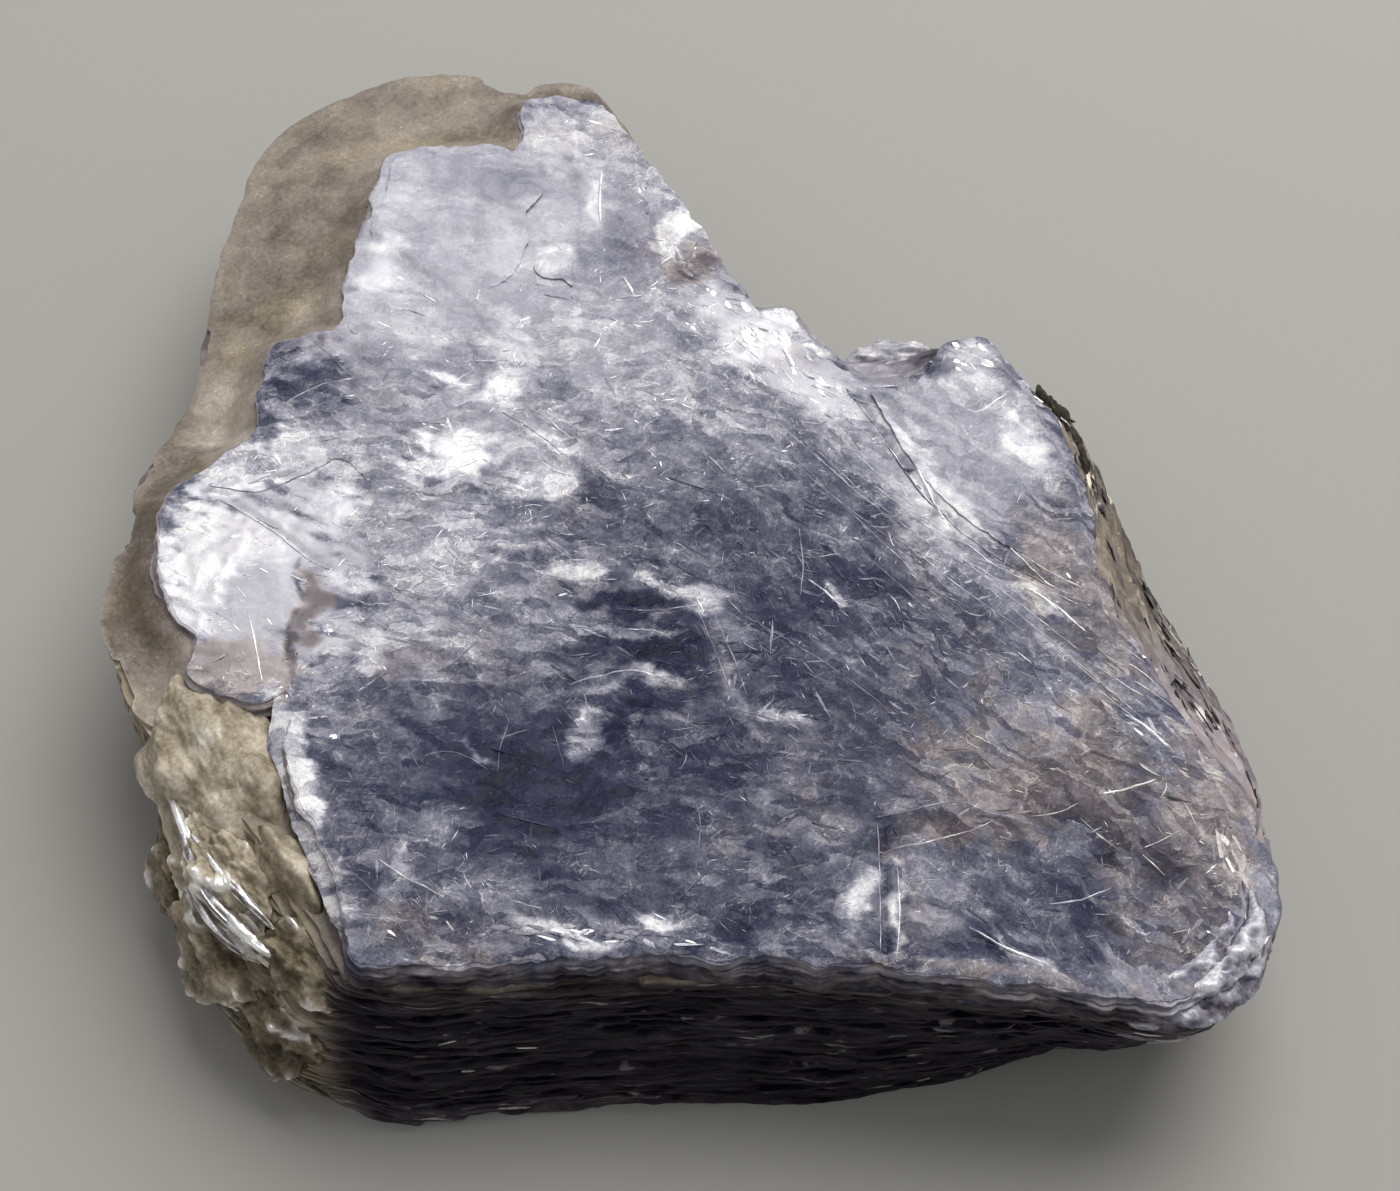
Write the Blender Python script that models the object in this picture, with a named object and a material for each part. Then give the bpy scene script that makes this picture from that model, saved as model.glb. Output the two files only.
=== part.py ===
"""A mica crystal: one book of cleavage sheets, about 72 mm across, lying on its flat underside.

The book is a loft of stacked sheets whose ragged edges stand out as ledges. On it lies an upper plate with torn
terraces, split by a diagonal fold and two short cracks. Lumps and crumpled ridges have grown on its left-front flank.
Lengths below are in millimetres until a mesh is made. +X is the right of the crystal, +Y its back, +Z up.
"""

import math

import bmesh
import bpy
from mathutils import Vector, geometry, noise

MM = 0.001

# Heights of the book.
BOOK_TOP = 12.6  # top of the stacked sheets, where the upper plate begins
PLATE_TOP = 14.5  # top of the upper plate
SHEET_COUNT = 13
UNEVENNESS = 0.9  # how far a sheet's lower face strays from an even spacing, as a share of a sheet
BAR_END = 0.25  # how thick a groove or a crest is at its ends, as a share of its middle
LEDGE_SOFTNESS = 0.05  # half the height over which one sheet's edge steps to the next
SHEET_RAGGEDNESS = 0.32  # how far a sheet's edge wanders
CAP_SPACING = 4.2  # distance between the points inside a curved face
SUNK = 0.12  # how deep the held side of a torn sheet is sunk into the plate
CAP_JITTER = 3.0  # how far those points stray from an even pattern

# The point of the outlines that lies above the origin, the middle of the crystal's box.
OUTLINE_CENTRE = (-1.05, 1.41)


class Stretch:
    """A run of the book's outline: its points at the foot and at the top, and how the wall goes between them."""

    def __init__(self, climb, bulge, points):
        self.climb = climb  # 1 is a straight wall; more keeps to the foot for longer, less leans out early
        self.bulge = bulge  # how far the wall's middle stands out
        self.points = points  # ((foot x, foot y), (top x, top y))


# The outline runs anticlockwise, seen from above, from the left-front corner.
FRONT_WALL = Stretch(1.0, 0.25, [
    ((-20.5, -35.4), (-19.6, -33.4)), ((-17.3, -36.4), (-16.5, -33.9)), ((-13.5, -36.1), (-12.5, -33.8)),
    ((-9.0, -35.5), (-8.0, -33.5)), ((-3.0, -35.0), (-2.5, -33.2)), ((4.0, -34.9), (4.0, -33.4)),
    ((9.5, -34.6), (10.0, -33.9)), ((15.3, -33.5), (15.5, -34.5)), ((20.5, -31.8), (20.8, -35.0)),
])
UNDERCUT_CORNER = Stretch(0.6, 0.3, [
    ((24.3, -29.8), (25.3, -35.9)), ((27.2, -27.7), (28.9, -36.0)), ((29.4, -25.5), (31.3, -34.0)),
    ((31.2, -22.8), (33.3, -31.0)), ((32.4, -19.5), (34.4, -27.4)),
])
RIGHT_FLANK = Stretch(2.0, 1.1, [
    ((33.5, -15.3), (33.9, -23.6)), ((33.3, -11.2), (32.6, -20.2)), ((32.4, -7.4), (30.2, -16.4)),
    ((31.1, -3.7), (28.2, -12.7)), ((29.7, -0.3), (26.7, -8.6)), ((28.4, 3.0), (25.7, -4.0)),
    ((27.2, 6.5), (25.2, 0.2)), ((26.0, 9.8), (24.6, 4.2)), ((24.6, 12.6), (23.6, 7.6)),
    ((22.6, 14.4), (22.3, 9.2)),
])
BACK_NOTCH = Stretch(3.0, 0.8, [
    ((20.0, 14.6), (20.7, 11.4)), ((17.5, 15.8), (18.8, 13.2)), ((15.2, 17.8), (16.8, 12.6)),
    ((12.8, 19.2), (14.2, 10.5)), ((10.6, 18.6), (11.7, 10.2)), ((8.6, 16.8), (10.1, 11.6)),
    ((6.8, 16.4), (8.6, 14.0)), ((5.0, 17.2), (6.6, 17.0)), ((3.2, 18.6), (4.0, 17.1)),
])
BACK_EDGE = Stretch(1.0, 0.3, [
    ((1.8, 21.0), (2.3, 19.8)), ((0.2, 24.0), (0.7, 23.3)), ((-1.8, 27.4), (-1.5, 27.2)),
    ((-3.8, 31.2), (-3.7, 31.9)), ((-5.8, 34.6), (-5.6, 36.0)), ((-8.0, 37.0), (-7.4, 38.4)),
    ((-10.6, 36.6), (-10.6, 38.4)),
])
BACK_FRINGE = Stretch(1.0, 0.3, [
    ((-12.4, 35.4), (-12.4, 37.4)), ((-15.5, 37.2), (-15.8, 39.4)), ((-19.0, 37.4), (-19.6, 39.4)),
    ((-23.0, 35.8), (-24.0, 37.8)), ((-26.8, 33.6), (-27.8, 35.6)), ((-28.6, 31.2), (-29.9, 33.2)),
])
LEFT_FRINGE = Stretch(1.0, 0.3, [
    ((-29.6, 26.5), (-31.0, 28.0)), ((-30.6, 22.0), (-32.0, 22.5)), ((-31.4, 17.0), (-32.6, 17.4)),
    ((-31.6, 12.0), (-32.9, 12.0)), ((-32.6, 7.2), (-34.0, 7.2)), ((-33.8, 2.8), (-35.4, 2.8)),
    ((-34.2, -2.0), (-35.8, -2.2)), ((-34.8, -6.0), (-36.6, -6.6)), ((-34.8, -9.5), (-35.8, -10.6)),
])
LUMPY_FLANK = Stretch(1.8, 0.9, [
    ((-33.4, -13.5), (-33.0, -15.8)), ((-32.8, -17.2), (-29.8, -19.0)), ((-31.4, -21.2), (-26.8, -22.2)),
    ((-30.0, -25.2), (-24.4, -25.2)), ((-28.6, -28.6), (-22.6, -28.2)), ((-26.6, -31.4), (-21.2, -30.6)),
    ((-23.8, -33.8), (-20.3, -32.4)),
])
OUTLINE = [FRONT_WALL, UNDERCUT_CORNER, RIGHT_FLANK, BACK_NOTCH, BACK_EDGE, BACK_FRINGE, LEFT_FRINGE, LUMPY_FLANK]

# The upper plate, anticlockwise from its left-front corner.
PLATE_FRONT = [(-19.0, -33.0), (-16.0, -33.3), (-12.0, -33.1), (-8.0, -32.9), (-2.5, -32.7), (4.0, -32.9),
               (10.0, -33.4), (15.5, -34.1), (20.8, -34.8), (25.2, -35.3), (28.0, -35.0)]
PLATE_RIGHT = [(30.0, -32.8), (31.4, -30.0), (32.2, -27.0), (32.2, -24.0), (31.0, -21.5), (29.3, -18.5),
               (27.6, -15.2), (26.0, -11.5), (25.2, -8.0), (24.7, -4.0), (24.2, 0.0), (23.2, 3.4), (22.2, 6.5)]
PLATE_BACK = [(20.9, 9.0), (20.0, 10.9), (18.8, 12.4), (17.5, 12.5), (16.4, 11.6), (15.4, 9.9), (14.0, 8.9),
              (12.0, 8.9), (10.4, 9.6), (8.6, 10.9), (6.6, 12.3), (4.8, 14.4), (3.2, 16.6), (2.0, 18.9),
              (0.5, 22.2), (-1.6, 26.2), (-4.0, 30.0), (-5.8, 33.4), (-7.4, 35.0), (-11.6, 34.6)]
PLATE_LEFT = [(-11.9, 30.4), (-14.5, 30.6), (-20.4, 30.0), (-21.4, 27.0), (-21.6, 24.2), (-22.4, 21.0),
              (-23.0, 17.8), (-23.2, 13.8), (-27.4, 12.6), (-27.9, 9.0), (-27.8, 5.8), (-30.2, 3.2),
              (-33.0, 0.0), (-33.2, -4.5), (-32.2, -8.0), (-30.4, -10.5), (-30.4, -13.4), (-27.0, -15.4),
              (-24.4, -14.6), (-24.1, -19.4), (-22.2, -24.0), (-20.6, -27.8), (-19.8, -31.0)]
PLATE = PLATE_FRONT + PLATE_RIGHT + PLATE_BACK + PLATE_LEFT

# Torn sheets left standing on the plate.
TORN_SHEET = [(-20.2, 29.4), (-21.0, 25.0), (-21.6, 21.0), (-22.4, 17.0), (-19.5, 14.6), (-15.0, 15.6),
              (-12.4, 18.2), (-10.9, 21.6), (-11.3, 24.3), (-10.3, 26.0), (-10.6, 27.9), (-13.4, 29.2),
              (-17.0, 29.8)]
LEAF_FLAKE = [(-8.4, 18.3), (-10.2, 18.5), (-10.6, 20.6), (-9.8, 22.2), (-8.9, 21.9), (-8.2, 20.2)]
FOLDED_SHEET = [(11.4, 8.2), (12.8, 5.2), (14.8, 1.2), (17.2, -2.0), (20.0, -4.2), (23.4, -6.0), (23.8, -1.0),
                (22.6, 3.4), (20.8, 8.2), (19.4, 11.4), (17.8, 12.2), (16.6, 11.2), (15.6, 9.3), (13.4, 8.4)]
EDGE_FLAKE = [(-2.4, 21.2), (-0.4, 19.8), (0.4, 21.4), (-0.9, 24.2), (-2.0, 25.8), (-3.0, 25.0), (-2.7, 23.2)]
CENTRE_FLAKE = [(-17.9, 1.6), (-17.4, 3.4), (-14.8, 4.6), (-12.6, 6.2), (-11.0, 5.4), (-11.6, 3.2), (-13.4, 1.4),
                (-15.8, 0.4)]
LEFT_FACET = [(-32.6, -0.4), (-32.8, -4.4), (-31.7, -7.6), (-29.6, -10.0), (-26.6, -11.6), (-24.6, -8.0),
              (-25.2, -4.0), (-27.4, -1.2), (-29.4, 0.0)]
SMALL_FACET = [(-29.8, 3.0), (-27.6, 5.4), (-26.2, 5.6), (-25.4, 3.6), (-27.2, 1.0), (-29.4, 1.0)]
# Each torn sheet's outline, how high its free edge stands, and the points where it leaves the plate and is free.
TORN_SHEETS = {
    "torn": (TORN_SHEET, 0.5, (-17.0, 15.5), (-15.0, 24.0)),
    "leaf": (LEAF_FLAKE, 0.5, (-9.6, 22.0), (-9.2, 19.5)),
    "folded": (FOLDED_SHEET, 0.6, (21.5, 4.0), (16.0, 3.0)),
    "facet": (LEFT_FACET, 0.5, (-25.0, -4.5), (-30.5, -5.5)),
    "small_facet": (SMALL_FACET, 0.6, (-25.6, 2.5), (-28.6, 3.5)),
    "edge_flake": (EDGE_FLAKE, 0.5, (-3.4, 22.0), (-1.0, 23.2)),
    "centre_flake": (CENTRE_FLAKE, 0.35, (-11.5, 5.5), (-15.0, 3.0)),
}

# Grooves in the plate: the line of each and its half width.
DIAGONAL_FOLD = [(10.4, 8.3), (12.2, 5.0), (14.3, 1.0), (16.6, -2.3), (19.6, -5.0), (24.0, -7.6)]
LEFT_CRACK = [(11.1, -24.2), (11.2, -28.0), (11.2, -32.6)]
RIGHT_CRACK = [(11.7, -27.0), (11.8, -32.4)]
PLATE_CRESTS = {
    "sliver": ([(-24.5, -15.6, 13.6), (-24.4, -19.2, 13.1), (-22.9, -23.4, 12.9), (-21.2, -27.6, 13.0),
                (-20.2, -31.2, 13.6)], 1.0),
    "fold_crest": ([(11.0, 6.2, 14.6), (13.4, 2.2, 14.7), (16.0, -2.3, 14.7), (18.6, -5.2, 14.6)], 0.35),
    "rim_lip": ([(-18.0, -32.7, 14.3), (-8.0, -32.2, 14.4), (-2.5, -32.0, 14.4), (4.0, -32.2, 14.4),
                 (10.0, -32.7, 14.3), (20.8, -34.1, 14.3), (27.0, -34.4, 14.2)], 0.4),
}
GROOVES = {"fold": (DIAGONAL_FOLD, 0.5), "left_crack": (LEFT_CRACK, 0.25), "right_crack": (RIGHT_CRACK, 0.2)}

# Crests on the wall: the stretch, then (place along it counted in its points, height) for each point, and half width.
WALL_CRESTS = {
    "silver_crest": (LUMPY_FLANK, [(0.6, 9.6), (2.0, 8.6), (3.0, 9.0), (4.0, 9.4), (4.8, 10.4)], 0.75),
    "lower_crest": (LUMPY_FLANK, [(2.6, 5.6), (3.6, 5.8), (4.6, 5.0), (5.6, 4.2)], 0.8),
    "foot_crest": (LUMPY_FLANK, [(3.6, 2.6), (4.6, 2.2), (5.8, 1.6)], 0.8),
    "long_ledge": (FRONT_WALL, [(0.4, 1.0), (2.0, 1.2), (4.6, 1.5)], 0.45),
    "short_ledge": (FRONT_WALL, [(1.2, 3.0), (2.0, 3.2), (3.0, 3.1)], 0.4),
    "upper_ledge": (FRONT_WALL, [(4.2, 6.4), (5.6, 6.6), (7.4, 7.4)], 0.35),
    "corner_flake": (UNDERCUT_CORNER, [(0.8, 11.8), (1.8, 10.6), (2.8, 9.8), (4.0, 10.2)], 0.6),
    "corner_edge": (UNDERCUT_CORNER, [(1.2, 9.2), (2.2, 8.2), (3.2, 7.4)], 0.5),
    "flank_fold": (RIGHT_FLANK, [(4.6, 12.4), (3.6, 10.6), (2.6, 8.6)], 0.4),
    "middle_fold": (RIGHT_FLANK, [(3.8, 12.5), (2.8, 11.4), (1.8, 10.2)], 0.4),
    "lower_fold": (RIGHT_FLANK, [(7.4, 11.8), (6.2, 8.6), (5.0, 6.2), (3.6, 4.6)], 0.45),
}

# Lumps grown on the flanks: centre, radii and turn about Z in degrees.
LUMPS = {
    "buff": ((-28.6, -17.4, 9.6), (4.9, 6.2, 4.9), 28),
    "buff_nose": ((-25.8, -20.0, 10.0), (3.2, 4.2, 4.3), 24),
    "brown": ((-22.9, -24.0, 9.8), (2.0, 4.6, 4.4), 22),
    "corner": ((-20.2, -31.6, 11.0), (2.2, 1.9, 2.6), 20),
    "crevice_filling": ((-25.6, -26.4, 8.2), (2.6, 4.0, 3.4), 28),
    "foot": ((-25.2, -30.6, 3.6), (2.4, 3.2, 3.4), 40),
    "notch": ((12.4, 17.4, 4.2), (3.0, 2.2, 2.6), 0),
    "silver": ((32.0, -29.0, 10.0), (1.7, 3.0, 2.4), -25),
    "dark": ((23.4, 9.8, 7.4), (1.8, 3.4, 2.6), 25),
}

CRYSTAL_COLOUR = (0.33, 0.32, 0.42, 1.0)
CRYSTAL_ROUGHNESS = 0.34


def clear_scene():
    for obj in list(bpy.data.objects):
        bpy.data.objects.remove(obj, do_unlink=True)


def new_collection(name):
    collection = bpy.data.collections.new(name)
    bpy.context.scene.collection.children.link(collection)
    return collection


def smoothstep(low, high, value):
    t = min(max((value - low) / (high - low), 0.0), 1.0)
    return t * t * (3 - 2 * t)


def hill(x, y, centre, radius):
    return math.exp(-((x - centre[0]) ** 2 + (y - centre[1]) ** 2) / (2 * radius ** 2))


def relief(x, y):
    """How far the sheets at the top are bent up or down at a point, in millimetres."""
    bend = 0.8 * noise.noise(Vector((x / 17, y / 17, 3.1)))
    bend -= 1.5 * smoothstep(-22, -34, x) * smoothstep(2, 12, y)  # the brown fringe falls outwards
    bend -= 0.8 * smoothstep(24, 38, y)
    bend -= 0.9 * hill(x, y, (29.0, -33.0), 4.5)
    bend += 0.5 * hill(x, y, (17.6, 12.0), 2.6)  # the folded sheet curls up at its tip
    return bend


def bent(point):
    """A point of the flat book, in millimetres, moved to where the bent book has it. The underside stays flat."""
    x, y, z = point
    share = min(z / BOOK_TOP, 1.0) ** 1.6
    return Vector((x - OUTLINE_CENTRE[0], y - OUTLINE_CENTRE[1], z + share * relief(x, y))) * MM


def outward(loop, index):
    """The direction out of an anticlockwise loop of points at one of them."""
    before, after = loop[index - 1], loop[(index + 1) % len(loop)]
    along = Vector((after[0] - before[0], after[1] - before[1])).normalized()
    return Vector((along.y, -along.x))


def wall_loop(height):
    """The book's outline at a height, before its sheets' edges are made ragged."""
    share = height / BOOK_TOP
    loop = []
    tops = [top for stretch in OUTLINE for _, top in stretch.points]
    for stretch in OUTLINE:
        for foot, top in stretch.points:
            lean = share ** stretch.climb
            middle = Vector(foot).lerp(Vector(top), lean)
            swell = stretch.bulge * math.sin(math.pi * share)
            loop.append(middle + outward(tops, len(loop)) * swell)
    return loop


def ragged(loop, sheet):
    """The loop with one sheet's own edge: some sheets stand out, some are set back, and all of them wander."""
    set_back = 0.3 * noise.noise(Vector((sheet * 1.7, 0.4, 0.2)))
    edge = []
    for index, point in enumerate(loop):
        wander = noise.noise(Vector((point.x / 5, point.y / 5, sheet * 2.3)))
        edge.append(point + outward(loop, index) * (set_back + SHEET_RAGGEDNESS * wander))
    return edge


def sheet_level(sheet):
    """The height at which a sheet begins. Sheets are unequally thick."""
    if sheet in (0, SHEET_COUNT):
        return BOOK_TOP * sheet / SHEET_COUNT
    shift = UNEVENNESS * noise.noise(Vector((sheet * 3.7, 1.9, 6.3)))
    return BOOK_TOP * (sheet + shift) / SHEET_COUNT


def inside(loop, x, y):
    """Whether a point lies inside a closed loop."""
    within = False
    for index, (x1, y1) in enumerate(loop):
        x0, y0 = loop[index - 1]
        if (y0 > y) != (y1 > y) and x < (x1 - x0) * (y - y0) / (y1 - y0) + x0:
            within = not within
    return within


def cap_points(loop):
    """Points inside the loop in a triangular pattern, well clear of its edge."""
    columns = int(80 / CAP_SPACING)
    found = []
    for row in range(-columns, columns + 1):
        for column in range(-columns, columns + 1):
            y = (row + 0.6 * noise.noise(Vector((row * 1.3, column * 1.7, 4.2)))) * CAP_SPACING * 0.87
            x = (column + 0.5 * (row % 2)) * CAP_SPACING
            x += CAP_JITTER * noise.noise(Vector((x, y, 0.5)))
            clear = min(math.hypot(x - px, y - py) for px, py in loop)
            if clear > 0.45 * CAP_SPACING and inside(loop, x, y):
                found.append((x, y))
    return found


def cap_triangles(loop):
    """The points and triangles of a face that fills the loop, with points inside it so that it can be bent."""
    points = [Vector(p) for p in loop] + [Vector(p) for p in cap_points([tuple(p) for p in loop])]
    edges = [(i, (i + 1) % len(loop)) for i in range(len(loop))]
    filled = geometry.delaunay_2d_cdt(points, edges, [], 1, 1e-6)
    return filled[0], filled[2]


def stack_mesh(name, loops, heights, lift=None):
    """A closed mesh lofted through the loops, one height each, bent as the book is.

    Where lift is given, it is how far the top is raised further at a point.
    """
    def placed(x, y, height):
        raised = lift(x, y) if lift and height == heights[-1] else 0.0
        return bent((x, y, height + raised))

    bm = bmesh.new()
    rings = []
    for loop, height in zip(loops, heights):
        rings.append([bm.verts.new(placed(p[0], p[1], height)) for p in loop])
    for lower, upper in zip(rings, rings[1:]):
        for i in range(len(lower)):
            j = (i + 1) % len(lower)
            bm.faces.new((lower[i], lower[j], upper[j], upper[i]))
    for end in (0, -1):
        ring, height = rings[end], heights[end]
        if height == 0.0:
            bm.faces.new(list(reversed(ring)))
            continue
        points, triangles = cap_triangles(loops[end])
        verts = list(ring) + [bm.verts.new(placed(p.x, p.y, height)) for p in points[len(ring):]]
        for triangle in triangles:
            corners = [verts[i] for i in triangle]
            bm.faces.new(corners if end else list(reversed(corners)))
    bmesh.ops.triangulate(bm, faces=bm.faces)
    bmesh.ops.recalc_face_normals(bm, faces=bm.faces)
    mesh = bpy.data.meshes.new(name)
    bm.to_mesh(mesh)
    bm.free()
    return mesh


def add_object(name, mesh, collection):
    obj = bpy.data.objects.new(name, mesh)
    collection.objects.link(obj)
    return obj


def add_book(collection):
    """The stacked sheets from the flat underside to the top of the book."""
    loops, heights = [], []
    levels = [sheet_level(sheet) for sheet in range(SHEET_COUNT + 1)]
    for sheet, (low, high) in enumerate(zip(levels, levels[1:])):
        edge = ragged(wall_loop((low + high) / 2), sheet)
        loops += [edge, edge]
        heights += [low + LEDGE_SOFTNESS if sheet else 0.0, high - LEDGE_SOFTNESS]
    return add_object("mica_crystal", stack_mesh("mica_crystal", loops, heights), collection)


def add_plate(collection):
    """The upper plate, in two sheets, sunk a little into the book."""
    middle = (BOOK_TOP + PLATE_TOP) / 2
    loop = [Vector(p) for p in PLATE]
    lower, upper = ragged(loop, 31), ragged([p + outward(loop, i) * -0.25 for i, p in enumerate(loop)], 32)
    heights = [BOOK_TOP - 1.2, middle - LEDGE_SOFTNESS, middle + LEDGE_SOFTNESS, PLATE_TOP]
    return add_object("plate", stack_mesh("plate", [lower, lower, upper, upper], heights), collection)


def add_torn_sheet(name, outline, rise, held, free, collection):
    """A thin sheet that leaves the plate at the point held and stands up by its rise at the point free."""
    loop = [Vector(p) for p in outline]
    if sum(a.x * b.y - b.x * a.y for a, b in zip(loop, loop[1:] + loop[:1])) < 0:
        loop.reverse()
    along = Vector(free) - Vector(held)

    def lift(x, y):
        share = (Vector((x, y)) - Vector(held)).dot(along) / along.length_squared
        return (rise + SUNK) * smoothstep(0, 1, share)

    heights = [PLATE_TOP - 0.9, PLATE_TOP - SUNK]
    return add_object(name, stack_mesh(name, [loop, loop], heights, lift), collection)


def on_wall(stretch, place, height, proud):
    """A point that stands proud of the book's wall, at a place along a stretch, counted in its points."""
    start = 0
    for earlier in OUTLINE[:OUTLINE.index(stretch)]:
        start += len(earlier.points)
    loop = wall_loop(height)
    first = (start + int(place)) % len(loop)
    foot = loop[first].lerp(loop[(first + 1) % len(loop)], place - int(place))
    return foot + outward(loop, first) * proud


def add_bar(name, line, half_width, collection):
    """A square bar set on edge along a line of bent points, thin at both ends: a groove's cutter or a crest."""
    curve = bpy.data.curves.new(name, "CURVE")
    curve.dimensions = "3D"
    curve.bevel_depth = half_width * MM
    curve.bevel_resolution = 0
    curve.use_fill_caps = True
    spline = curve.splines.new("POLY")
    spline.points.add(len(line) - 1)
    for point, place in zip(spline.points, line):
        point.co = (*place, 1)
    spline.points[0].radius = spline.points[-1].radius = BAR_END
    source = add_object(name + "_curve", curve, collection)
    bpy.context.view_layer.update()
    evaluated = source.evaluated_get(bpy.context.evaluated_depsgraph_get())
    mesh = bpy.data.meshes.new_from_object(evaluated)
    bpy.data.objects.remove(source, do_unlink=True)
    bm = bmesh.new()
    bm.from_mesh(mesh)
    bmesh.ops.remove_doubles(bm, verts=bm.verts, dist=1e-6)
    bmesh.ops.recalc_face_normals(bm, faces=bm.faces)
    bm.to_mesh(mesh)
    bm.free()
    return add_object(name, mesh, collection)


def add_groove(name, line, half_width, collection):
    """A cutter along a line on the plate, which leaves a V."""
    points = [bent((x, y, PLATE_TOP + 0.3 * half_width)) for x, y in line]
    return add_bar(name, points, half_width * 1.3, collection)


def add_crest(name, stretch, places, half_width, collection):
    """A crest along the wall, partly sunk into it."""
    points = []
    for place, height in places:
        foot = on_wall(stretch, place, height, 0.4 * half_width)
        points.append(bent((foot.x, foot.y, height)))
    return add_bar(name, points, half_width, collection)


def add_lump(name, centre, radii, turn, collection):
    """A rough lump: a ball stretched to its radii, with its surface pushed in and out."""
    bm = bmesh.new()
    bmesh.ops.create_icosphere(bm, subdivisions=3, radius=1.0)
    angle = math.radians(turn)
    for vert in bm.verts:
        rough = 1 + 0.28 * noise.noise(vert.co * 1.7 + Vector((centre[0], centre[1], 0)))
        x, y, z = (c * r * rough for c, r in zip(vert.co, radii))
        across = x * math.cos(angle) - y * math.sin(angle)
        along = x * math.sin(angle) + y * math.cos(angle)
        placed = Vector(centre) + Vector((across - OUTLINE_CENTRE[0], along - OUTLINE_CENTRE[1], z))
        vert.co = placed * MM
    mesh = bpy.data.meshes.new(name)
    bm.to_mesh(mesh)
    bm.free()
    return add_object(name, mesh, collection)


def boolean(target, other, operation):
    """Joins or cuts the target with another object, which is then only a helper."""
    modifier = target.modifiers.new(other.name, "BOOLEAN")
    modifier.operation = operation
    modifier.object = other
    modifier.solver = "EXACT"
    other.hide_render = True
    other.display_type = "WIRE"


def mica_material():
    material = bpy.data.materials.new("mica")
    material.use_nodes = True
    shader = material.node_tree.nodes["Principled BSDF"]
    shader.inputs["Base Color"].default_value = CRYSTAL_COLOUR
    shader.inputs["Roughness"].default_value = CRYSTAL_ROUGHNESS
    shader.inputs["Metallic"].default_value = 0.0
    return material


def main():
    clear_scene()
    parts = new_collection("mica crystal")
    helpers = new_collection("joined and cut shapes")
    crystal = add_book(parts)
    boolean(crystal, add_plate(helpers), "UNION")
    for name, (outline, rise, held, free) in TORN_SHEETS.items():
        boolean(crystal, add_torn_sheet(name, outline, rise, held, free, helpers), "UNION")
    for name, (centre, radii, turn) in LUMPS.items():
        boolean(crystal, add_lump(name, centre, radii, turn, helpers), "UNION")
    for name, (line, half_width) in PLATE_CRESTS.items():
        boolean(crystal, add_bar(name, [bent(p) for p in line], half_width, helpers), "UNION")
    for name, (stretch, places, half_width) in WALL_CRESTS.items():
        boolean(crystal, add_crest(name, stretch, places, half_width, helpers), "UNION")
    for name, (line, half_width) in GROOVES.items():
        boolean(crystal, add_groove(name, line, half_width, helpers), "DIFFERENCE")
    crystal.data.materials.append(mica_material())


main()
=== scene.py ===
"""The looks of a mica crystal: a book of cleavage sheets, lying on its flat underside.

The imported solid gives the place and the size. Here its form is made again as fine meshes: the book with every
sheet's ragged edge, the upper plate with its flakes, folds and cracks, the sheets torn off it, the crumpled
flanks, and the thin slivers that give the face its feathery look. Lengths are in millimetres until a mesh is
made, and points are counted from the same place as in the part's own source. +X is the right of the crystal,
+Y its back, +Z up. A layer number only picks which noise is used.
"""

import math

import bmesh
import bpy
import numpy as np
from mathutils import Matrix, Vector, geometry, kdtree, noise

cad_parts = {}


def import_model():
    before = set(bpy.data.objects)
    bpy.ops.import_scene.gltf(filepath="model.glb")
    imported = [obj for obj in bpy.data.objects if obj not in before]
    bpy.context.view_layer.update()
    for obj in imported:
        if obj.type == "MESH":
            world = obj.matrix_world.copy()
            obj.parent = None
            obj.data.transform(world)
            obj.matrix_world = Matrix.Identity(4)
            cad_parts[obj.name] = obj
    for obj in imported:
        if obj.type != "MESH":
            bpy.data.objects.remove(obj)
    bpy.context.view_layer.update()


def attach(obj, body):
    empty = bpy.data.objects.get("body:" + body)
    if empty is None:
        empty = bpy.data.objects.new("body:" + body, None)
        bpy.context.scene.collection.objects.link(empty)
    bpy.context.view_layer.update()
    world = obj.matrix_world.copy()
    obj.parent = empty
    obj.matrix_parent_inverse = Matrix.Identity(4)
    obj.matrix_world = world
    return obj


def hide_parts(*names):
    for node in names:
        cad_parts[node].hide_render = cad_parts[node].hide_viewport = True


MM = 0.001
SEED = 11

# --- The crystal's form, as in the part's source ---

BOOK_TOP = 12.6  # top of the stacked sheets, where the upper plate begins
PLATE_TOP = 14.5  # top of the upper plate
SHEET_COUNT = 13
OUTLINE_CENTRE = np.array([-1.05, 1.41])  # the point of the outlines that lies above the origin

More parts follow.
